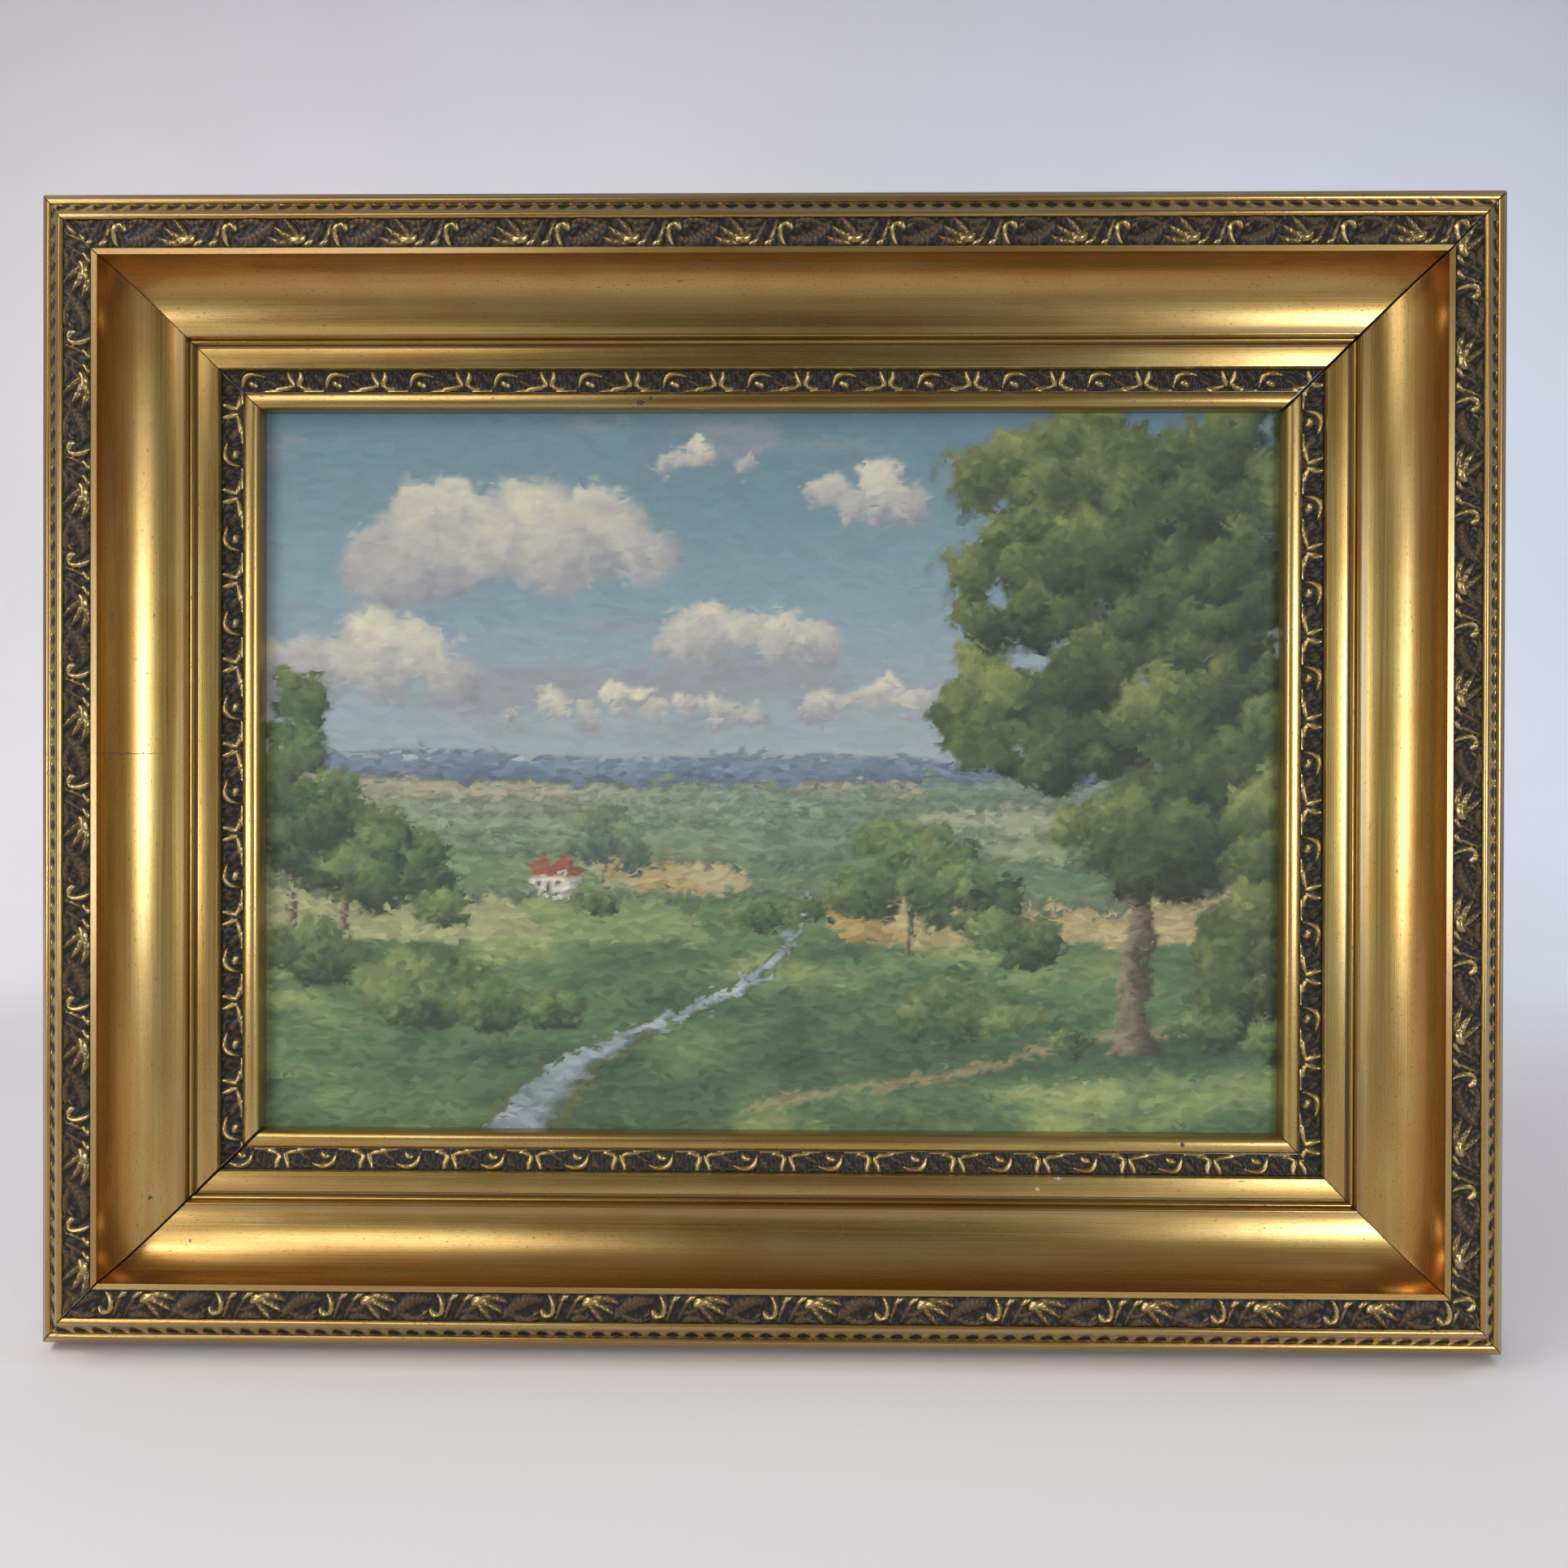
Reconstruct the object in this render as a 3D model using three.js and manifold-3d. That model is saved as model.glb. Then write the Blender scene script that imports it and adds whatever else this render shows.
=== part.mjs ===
// A landscape oil painting on board in a mitred, gilt moulding frame with two courses of leaf ornament.
// Millimetres, +Z up. The picture faces -Y and its back lies against the wall plane Y = 0.
// The origin is the middle of the top rail's flat back, where the picture is hung.
//
// Each rail is one length of the same moulding, cut at both ends and turned round the picture's centre.
// In a rail's own frame X runs along it, Z runs out from the sight edge and -Y rises from its back.
import * as THREE from "three";
import { mergeVertices } from "three/addons/utils/BufferGeometryUtils.js";
import Module from "manifold-3d";

const wasm = await Module();
wasm.setup();

// The painted board, and the opening that it shows through.
const SIGHT = { width: 346, height: 245 };
const BOARD = { width: 355.6, height: 254, thickness: 3.2, clearance: 0.3 };

// The moulding's section: distances out from the sight edge, and heights above the back.
const MOULDING_WIDTH = 69.4;
const BACK_WIDTH = 68.6;
const REBATE = { width: 6.3, height: 10.5 };
const FILLET = { inner: 44, outer: 46, height: 39.9 };
const COVE = { inner: 23.5, height: 22.3 };
const LEAF_BAND = { inner: [46.3, 38.2], outer: [55.5, 38.2] };
const SCALLOP_FACE = { inner: [58.9, 36.5], outer: [63.9, 30] };
const VINE_BAND = { inner: [6, 15.8], outer: [12.5, 17.4] };

// The joints between the rails: how far apart the cut faces stand at the sight edge and at the outside.
const MITRE_TIGHT = { sight: 0.3, outside: 0.3 };
const MITRE_OPEN = { sight: 1.1, outside: 0.35 };

// The headless brads that hold the board in the rebate.
const BRAD = { radius: 0.7, length: 16, driven: 8.5, height: 5.9, play: 0.35, sides: 6 };

const HANG_RISE = 37.5; // from the sight edge up to the middle of the top rail's back

// Ornament that repeats along a rail. Each leaf is a curve through four points, given as a distance along
// the rail and a share of the band's width, with its half width, its rise and its number of stations.
const LEAF_COURSE = {
  band: LEAF_BAND,
  pitch: 36,
  leaves: [
    { curve: [[1.2, 0.36], [4, 0.14], [8, 0.12], [11.6, 0.34]], half: 1.3, rise: 1.5, stations: 2 },
    { curve: [[2.2, 0.92], [4, 0.72], [6.4, 0.58], [9.2, 0.56]], half: 0.95, rise: 1.5, stations: 2 },
    { curve: [[24.2, 0.66], [20.6, 1.1], [17.8, 0.1], [23.2, 0.1]], half: 0.85, rise: 1.4, stations: 3 },
    { curve: [[23.6, 0.36], [27, 0.3], [31, 0.5], [35.4, 0.86]], half: 1.5, rise: 1.1, stations: 2 },
  ],
};
const VINE_COURSE = {
  band: VINE_BAND,
  pitch: 28.6,
  leaves: [
    { curve: [[1, 0.5], [2.4, 0.95], [7.4, 1], [6.8, 0.36]], half: 0.85, rise: 1.2, stations: 2 },
    { curve: [[14.6, 0.78], [16.8, 0.66], [18.2, 0.34], [21, 0.18]], half: 0.9, rise: 1.1, stations: 2 },
  ],
};
const SCALLOPS = { pitch: 6.1, halfWidth: 2.6, apex: 0.14, base: 0.86, depth: 1.3, proud: 0.4 };

const point = ([x, y]) => new THREE.Vector2(x, y);

// A rounded stretch of the section: a curve from one point to the next, pulled towards a third.
function bulge(from, pull, to, steps) {
  return new THREE.QuadraticBezierCurve(point(from), point(pull), point(to)).getPoints(steps);
}

// The quarter ellipse of the cove, from the bead at its foot up to the fillet.
function coveCurve() {
  const across = FILLET.inner - COVE.inner;
  const rise = FILLET.height - COVE.height;
  const quarter = new THREE.EllipseCurve(COVE.inner, FILLET.height, across, rise, -Math.PI / 2, 0);
  return quarter.getPoints(10);
}

// The moulding's outline, from the rebate round the sight edge and over the face to the outer back edge.
function mouldingShape() {
  const outline = [
    point([REBATE.width, 0]),
    point([REBATE.width, REBATE.height]),
    point([0, REBATE.height]),
    ...bulge([0, 14.6], [0.3, 16.6], [1.9, 16.5], 3),
    ...bulge([2.2, 16.5], [3.3, 16.4], [3.5, 15.4], 2),
    point([4.2, 15.4]),
    point([4.4, 16.5]),
    point([5.8, 16.7]),
    point(VINE_BAND.inner),
    point(VINE_BAND.outer),
    point([12.8, 19.9]),
    point([19.3, 20.7]),
    point([19.6, 20]),
    point([20.2, 20]),
    ...bulge([20.3, 21.2], [21, 22.9], [21.7, 21.6], 3),
    ...bulge([22, 21.9], [22.7, 24.4], [23.4, 22.3], 3),
    ...coveCurve(),
    point([FILLET.outer, FILLET.height]),
    point(LEAF_BAND.inner),
    point(LEAF_BAND.outer),
    ...bulge([55.7, 38.6], [57, 40.4], [58.6, 37.4], 3),
    point(SCALLOP_FACE.inner),
    point(SCALLOP_FACE.outer),
    ...bulge([64.2, 30.4], [67.8, 29.6], [MOULDING_WIDTH, 21], 4),
    point([MOULDING_WIDTH, 17]),
    point([BACK_WIDTH, 0]),
  ];
  return new THREE.Shape(outline);
}

// A closed geometry as a solid that can be joined and cut.
function solidOf(geometry) {
  const bare = geometry.index ? geometry.toNonIndexed() : geometry.clone();
  bare.deleteAttribute("normal");
  bare.deleteAttribute("uv");
  const merged = mergeVertices(bare, 1e-4);
  return new wasm.Manifold(
    new wasm.Mesh({
      numProp: 3,
      vertProperties: merged.attributes.position.array,
      triVerts: new Uint32Array(merged.index.array),
    }),
  );
}

// A solid as a geometry with flat faces.
function geometryOf(solid) {
  const mesh = solid.getMesh();
  const geometry = new THREE.BufferGeometry();
  geometry.setAttribute("position", new THREE.BufferAttribute(mesh.vertProperties, 3));
  geometry.setIndex(new THREE.BufferAttribute(mesh.triVerts, 1));
  return geometry.toNonIndexed();
}

// A place on a flat band of the moulding: along the rail, across the band from its inner side, and out of it.
function onBand(band, along, across, out) {
  const inner = point(band.inner);
  const run = point(band.outer).sub(inner);
  const normal = new THREE.Vector2(-run.y, run.x).normalize();
  const place = inner.addScaledVector(run, across).addScaledVector(normal, out);
  return new THREE.Vector3(along, -place.y, place.x);
}

// A closed geometry from its corners and its triangles, which face out when seen anticlockwise.
function facets(corners, triangles) {
  const positions = triangles.flat().flatMap((i) => corners[i].toArray());
  const geometry = new THREE.BufferGeometry();
  geometry.setAttribute("position", new THREE.Float32BufferAttribute(positions, 3));
  return geometry;
}

// One leaf as a ridge that tapers to a point at both ends, sunk a little into its band.
function leafSolid(band, start, { curve, half, rise, stations }) {
  const sink = 0.4;
  const spread = half * (1 + sink / rise);
  const width = point(band.outer).distanceTo(point(band.inner));
  const line = new THREE.CubicBezierCurve(...curve.map(([s, share]) => point([s, share * width])));
  const place = (p, out) => onBand(band, start + p.x, p.y / width, out);
  const corners = [place(line.getPoint(0), -sink)];
  for (let i = 1; i <= stations; i++) {
    const t = i / (stations + 1);
    const middle = line.getPoint(t);
    const side = line.getTangent(t).rotateAround(new THREE.Vector2(), Math.PI / 2);
    const swell = 0.55 + 0.45 * Math.sin(Math.PI * t);
    corners.push(
      place(middle.clone().addScaledVector(side, spread * swell), -sink),
      place(middle, rise * swell),
      place(middle.clone().addScaledVector(side, -spread * swell), -sink),
    );
  }
  corners.push(place(line.getPoint(1), -sink));
  const last = corners.length - 1;
  const triangles = [[0, 2, 1], [0, 3, 2], [0, 1, 3]];
  for (let ring = 1; ring + 3 < last; ring += 3) {
    for (let k = 0; k < 3; k++) {
      const [a, b] = [ring + k, ring + ((k + 1) % 3)];
      triangles.push([a, b, a + 3], [b, b + 3, a + 3]);
    }
  }
  triangles.push([last, last - 3, last - 2], [last, last - 2, last - 1], [last, last - 1, last - 3]);
  return solidOf(facets(corners, triangles));
}

// Every leaf of a course that touches a rail of this length, with the first repeat begun at the given place.
function leafCourse({ band, pitch, leaves }, length, phase) {
  const solids = [];
  for (let start = -length / 2 - pitch + phase; start < length / 2; start += pitch) {
    for (const leaf of leaves) solids.push(leafSolid(band, start, leaf));
  }
  return solids;
}

// The three-sided hollows that part the scallops on the outer slope.
function scallopHollows(length) {
  const { pitch, halfWidth, apex, base, depth, proud } = SCALLOPS;
  const place = (along, across, out) => onBand(SCALLOP_FACE, along, across, out);
  const count = 2 * Math.floor((length / 2 - pitch) / pitch) + 1;
  const hollows = [];
  for (let i = 0; i < count; i++) {
    const middle = (i - (count - 1) / 2) * pitch;
    const corners = [
      place(middle, apex, proud),
      place(middle - halfWidth, base, proud),
      place(middle + halfWidth, base, proud),
      place(middle, (apex + 2 * base) / 3, -depth),
    ];
    hollows.push(solidOf(facets(corners, [[0, 2, 1], [0, 1, 3], [1, 2, 3], [2, 0, 3]])));
  }
  return hollows;
}

// Cuts a rail's end off at its mitre. Side is -1 for the start of the rail and 1 for its end.
function cutMitre(solid, halfSight, side, joint) {
  const backOff = (gap) => gap * Math.SQRT1_2;
  const atSight = halfSight - backOff(joint.sight);
  const slope = 1 - (backOff(joint.outside) - backOff(joint.sight)) / MOULDING_WIDTH;
  const normal = new THREE.Vector3(-side, 0, slope).normalize();
  return solid.trimByPlane(normal.toArray(), normal.x * side * atSight);
}

// A brad, or the hole that it sits in, standing along a rail's Z at the rebate.
function bradGeometry(along, play) {
  const { radius, length, driven, height, sides } = BRAD;
  const reach = length + (play ? play : 0);
  const rod = new THREE.CylinderGeometry(radius + play, radius + play, reach, sides);
  rod.rotateX(Math.PI / 2);
  rod.translate(along, -height, REBATE.width + driven + play - reach / 2);
  return rod;
}

// One rail of the frame, in its own frame.
function railGeometry({ halfSight, phases, mitres, brads }) {
  const length = 2 * (halfSight + MOULDING_WIDTH);
  const blank = new THREE.ExtrudeGeometry(mouldingShape(), { depth: length, bevelEnabled: false });
  // The section's X, its height and its run become the rail's Z, -Y and X.
  const turned = new THREE.Matrix4().set(0, 0, 1, -length / 2, 0, -1, 0, 0, 1, 0, 0, 0, 0, 0, 0, 1);
  const ornament = [
    ...leafCourse(LEAF_COURSE, length, phases.leaf),
    ...leafCourse(VINE_COURSE, length, phases.vine),
  ];
  const hollows = [
    ...scallopHollows(length),
    ...brads.map((along) => solidOf(bradGeometry(along, BRAD.play))),
  ];
  let rail = wasm.Manifold.union([solidOf(blank.applyMatrix4(turned)), ...ornament]);
  rail = rail.subtract(wasm.Manifold.union(hollows));
  rail = cutMitre(rail, halfSight, -1, mitres.start);
  rail = cutMitre(rail, halfSight, 1, mitres.end);
  return geometryOf(rail);
}

const gilt = new THREE.MeshStandardMaterial({ color: 0xb08a45, roughness: 0.32, metalness: 0.9 });
const paint = new THREE.MeshStandardMaterial({ color: 0x7f9690, roughness: 0.45, metalness: 0 });
const steel = new THREE.MeshStandardMaterial({ color: 0x77716a, roughness: 0.5, metalness: 0.8 });

// The rails clockwise from the top, as the viewer sees them. The joints at the top right and the bottom
// left have opened; the other two are tight.
const LONG_RAIL = { halfSight: SIGHT.width / 2, reach: SIGHT.height / 2, brads: [-120, 0, 120] };
const SHORT_RAIL = { halfSight: SIGHT.height / 2, reach: SIGHT.width / 2, brads: [-70, 70] };
const OPENS_AT_END = { start: MITRE_TIGHT, end: MITRE_OPEN };
const OPENS_AT_START = { start: MITRE_OPEN, end: MITRE_TIGHT };
const RAILS = [
  { name: "top", turn: 0, ...LONG_RAIL, mitres: OPENS_AT_END, phases: { leaf: 10, vine: 5 } },
  { name: "right", turn: 1, ...SHORT_RAIL, mitres: OPENS_AT_START, phases: { leaf: 16, vine: 12 } },
  { name: "bottom", turn: 2, ...LONG_RAIL, mitres: OPENS_AT_END, phases: { leaf: 3, vine: 16 } },
  { name: "left", turn: 3, ...SHORT_RAIL, mitres: OPENS_AT_START, phases: { leaf: 22, vine: 8 } },
];

// A rail with its brads, turned to its side of the picture.
function sideOfFrame(side) {
  const rail = new THREE.Mesh(railGeometry(side), gilt);
  rail.name = `${side.name}_rail`;
  const brads = side.brads.map((along, i) => {
    const brad = new THREE.Mesh(bradGeometry(along, 0), steel);
    brad.name = `${side.name}_brad_${i + 1}`;
    return brad;
  });
  const arm = new THREE.Group().add(rail, ...brads);
  arm.position.z = side.reach;
  const turned = new THREE.Group().add(arm);
  turned.rotation.y = (side.turn * Math.PI) / 2;
  return turned;
}

// The painted board, lying in the rebate behind the sight edge.
function paintedBoard() {
  const board = new THREE.Mesh(new THREE.BoxGeometry(BOARD.width, BOARD.thickness, BOARD.height), paint);
  board.name = "painted_board";
  board.position.y = -(REBATE.height - BOARD.clearance - BOARD.thickness / 2);
  return board;
}

const picture = new THREE.Group().add(...RAILS.map(sideOfFrame), paintedBoard());
picture.position.z = -(SIGHT.height / 2 + HANG_RISE);

const framedPainting = new THREE.Group().add(picture);

export default framedPainting;
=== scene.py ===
"""A painted board in a gilt frame with two bands of ornament, and the plain studio that it stands in."""

import logging
import math
from collections.abc import Iterator
from contextlib import contextmanager
from dataclasses import dataclass, field
from enum import Enum

import bmesh
import bpy
import numpy as np
from mathutils import Matrix, Vector


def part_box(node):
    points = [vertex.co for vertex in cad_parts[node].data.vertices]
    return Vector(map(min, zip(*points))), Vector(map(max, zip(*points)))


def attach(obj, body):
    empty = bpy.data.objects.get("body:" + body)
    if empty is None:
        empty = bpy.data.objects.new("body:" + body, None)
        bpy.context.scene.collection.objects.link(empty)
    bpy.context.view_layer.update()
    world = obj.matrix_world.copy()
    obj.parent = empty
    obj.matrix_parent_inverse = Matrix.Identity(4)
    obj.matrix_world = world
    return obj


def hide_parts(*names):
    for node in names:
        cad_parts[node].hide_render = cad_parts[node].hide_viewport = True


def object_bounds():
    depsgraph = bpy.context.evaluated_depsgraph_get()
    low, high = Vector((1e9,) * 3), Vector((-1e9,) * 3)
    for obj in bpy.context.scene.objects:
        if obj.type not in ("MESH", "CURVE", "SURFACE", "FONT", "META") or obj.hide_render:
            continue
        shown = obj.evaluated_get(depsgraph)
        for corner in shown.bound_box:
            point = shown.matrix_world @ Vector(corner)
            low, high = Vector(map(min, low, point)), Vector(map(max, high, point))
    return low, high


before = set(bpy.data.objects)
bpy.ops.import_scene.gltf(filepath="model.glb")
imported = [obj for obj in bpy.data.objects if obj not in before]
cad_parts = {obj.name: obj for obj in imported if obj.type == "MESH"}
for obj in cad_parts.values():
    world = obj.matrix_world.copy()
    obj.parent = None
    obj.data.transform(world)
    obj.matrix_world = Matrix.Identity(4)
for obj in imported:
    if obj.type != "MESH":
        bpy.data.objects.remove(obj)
CAD_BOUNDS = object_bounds()

log = logging.getLogger("framed_painting")

MM = 0.001
HAIR = 0.01 * MM
CUT_REACH = 1e-7
FLOOR_GAP = 2 * MM
BODY = "root"
COURSE_MAP = "Course"
GILT = "gilt"
# Attribute names: dust with painted shade in the moulding's hollows, and painted orange reflection on the
# cove.
DUST_AND_SHADE = "grime"
PAINTED_BOUNCE = "amber"
AIRY = "airy"
LEAFY = "leafy"

Pair = tuple[float, float]
Colour = tuple[float, float, float]
Socket = bpy.types.NodeSocket
Value = Socket | float | str | Colour


def pigment(red: int, green: int, blue: int, strength: float = 1.0) -> Colour:
    """A colour as a tube of paint names it, in 0 to 255, turned into linear light.

    Args:
        red, green, blue: the display values.
        strength: a factor on the linear result.

    Returns:
        The linear colour.
    """

    def linear(value: int) -> float:
        """One channel in linear light."""
        share = value / 255
        return share / 12.92 if share <= 0.04045 else ((share + 0.055) / 1.055) ** 2.4

    return tuple(linear(v) * strength for v in (red, green, blue))


def step(value: np.ndarray, low: float, high: float) -> np.ndarray:
    """0 below low, 1 above high, and smooth between."""
    t = np.clip((value - low) / (high - low), 0, 1)
    return t * t * (3 - 2 * t)


# ---------------------------------------------------------------------------------------------
# Node graphs
# ---------------------------------------------------------------------------------------------


class Graph:
    """A node tree with short calls for the nodes that the finishes share."""

    def __init__(self, tree: bpy.types.NodeTree) -> None:
        """Wraps an empty tree."""
        self.tree = tree

    def add(self, kind: str, inputs: dict[str | int, Value] | None = None,
            **settings: str | bool) -> bpy.types.Node:
        """Adds a node.

        Args:
            kind: the node's type name.
            inputs: values or sockets for its inputs, by name or place.
            settings: the node's own properties.

        Returns:
            The new node.
        """
        node = self.tree.nodes.new(kind)
        for name, value in settings.items():
            setattr(node, name, value)
        self.fill(node, inputs or {})
        return node

    def fill(self, node: bpy.types.Node, inputs: dict[str | int, Value]) -> None:
        """Links or sets a node's inputs, by name or place."""
        for key, value in inputs.items():
            self.feed(node.inputs[key], value)

    def feed(self, socket: Socket, value: Value) -> None:
        """Links a socket to another, or sets its value."""
        if isinstance(value, Socket):
            self.tree.links.new(value, socket)
        elif isinstance(value, tuple) and socket.type == "RGBA" and len(value) == 3:
            socket.default_value = (*value, 1.0)
        else:
            socket.default_value = value

    def math(self, operation: str, *values: Value, clamp: bool = False) -> Socket:
        """A Math node's result."""
        node = self.add("ShaderNodeMath", dict(enumerate(values)), operation=operation, use_clamp=clamp)
        return node.outputs[0]

    def vector(self, operation: str, *values: Value) -> Socket:
        """A Vector Math node's result, which is a number for a length or a dot product."""
        node = self.add("ShaderNodeVectorMath", dict(enumerate(values)), operation=operation)
        return node.outputs["Value" if operation in ("LENGTH", "DOT_PRODUCT") else "Vector"]

    def weigh(self, *parts: tuple[Value, float]) -> Socket:
        """Two values, each times its weight, added."""
        return self.math("ADD", *(self.math("MULTIPLY", value, weight) for value, weight in parts))

    def sway(self, value: Value, reach: Value) -> Socket:
        """A value that lies about a half, brought to lie about nothing, times a reach."""
        return self.math("MULTIPLY", self.math("SUBTRACT", value, 0.5), reach)

    def mix(self, share: Value, first: Value, second: Value, blend: str = "MIX") -> Socket:
        """Two colours mixed by a share."""
        inputs = {"Factor": share, 6: first, 7: second}
        return self.add("ShaderNodeMix", inputs, data_type="RGBA", blend_type=blend).outputs[2]

    def blend(self, share: Value, first: Value, second: Value) -> Socket:
        """Two numbers mixed by a share."""
        return self.add("ShaderNodeMix", {"Factor": share, 2: first, 3: second}, data_type="FLOAT").outputs[0]

    def spread(self, value: Value, low: float, high: float, to_low: float = 0.0,
               to_high: float = 1.0) -> Socket:
        """A value carried smoothly from one range to another, and held at its ends."""
        inputs = dict(enumerate((value, low, high, to_low, to_high)))
        return self.add("ShaderNodeMapRange", inputs, interpolation_type="SMOOTHSTEP").outputs[0]

    def place(self, vector: Socket, scale: Colour) -> Socket:
        """Coordinates stretched by a factor along each axis."""
        return self.vector("MULTIPLY", vector, scale)

    def noise(self, vector: Socket, scale: float, detail: float = 2.0, rough: float = 0.5,
              flat: bool = False) -> Socket:
        """A noise texture's value, over two dimensions where flat."""
        inputs = {"Vector": vector, "Scale": scale, "Detail": detail, "Roughness": rough}
        return self.add("ShaderNodeTexNoise", inputs, noise_dimensions="2D" if flat else "3D").outputs[0]

    def attribute(self, name: str, output: str = "Fac") -> Socket:
        """A mesh attribute, as a number or a colour."""
        return self.add("ShaderNodeAttribute", attribute_name=name).outputs[output]

    def course(self) -> Socket:
        """The piece's own map: metres along the rail and across its face."""
        return self.add("ShaderNodeUVMap", uv_map=COURSE_MAP).outputs[0]

    def solid_place(self) -> Socket:
        """Coordinates in the object's own space, in metres."""
        return self.add("ShaderNodeTexCoord").outputs["Object"]

    def bump(self, height: Socket, distance: float, strength: float = 1.0,
             under: Socket | None = None) -> Socket:
        """A bump, laid over another one where one is given."""
        node = self.add("ShaderNodeBump", {"Strength": strength, "Distance": distance, "Height": height})
        if under is not None:
            self.feed(node.inputs["Normal"], under)
        return node.outputs[0]


def surface(name: str) -> tuple[bpy.types.Material, Graph, bpy.types.Node]:
    """A new material.

    Args:
        name: its name.

    Returns:
        The material, its graph and its Principled shader, linked to the output.
    """
    material = bpy.data.materials.new(name)
    material.use_nodes = True
    graph = Graph(material.node_tree)
    material.node_tree.nodes.clear()
    shader = graph.add("ShaderNodeBsdfPrincipled")
    graph.add("ShaderNodeOutputMaterial", {"Surface": shader.outputs[0]})
    return material, graph, shader


# ---------------------------------------------------------------------------------------------
# Finishes
# ---------------------------------------------------------------------------------------------


@dataclass(frozen=True)
class Mark:
    """A chip, nick or speck in the gilding: mm from the picture's centre, and its half sizes."""

    x: float
    z: float
    wide: float
    high: float

    def cover(self, graph: Graph, flat: Socket) -> Socket:
        """How far it covers each place, from coordinates round the picture's centre."""
        offset = graph.vector("SUBTRACT", flat, (self.x * MM, 0.0, self.z * MM))
        scaled = graph.place(offset, (1 / (self.wide * MM), 0.0, 1 / (self.high * MM)))
        return graph.spread(graph.vector("LENGTH", scaled), 1.15, 0.75)


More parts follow.
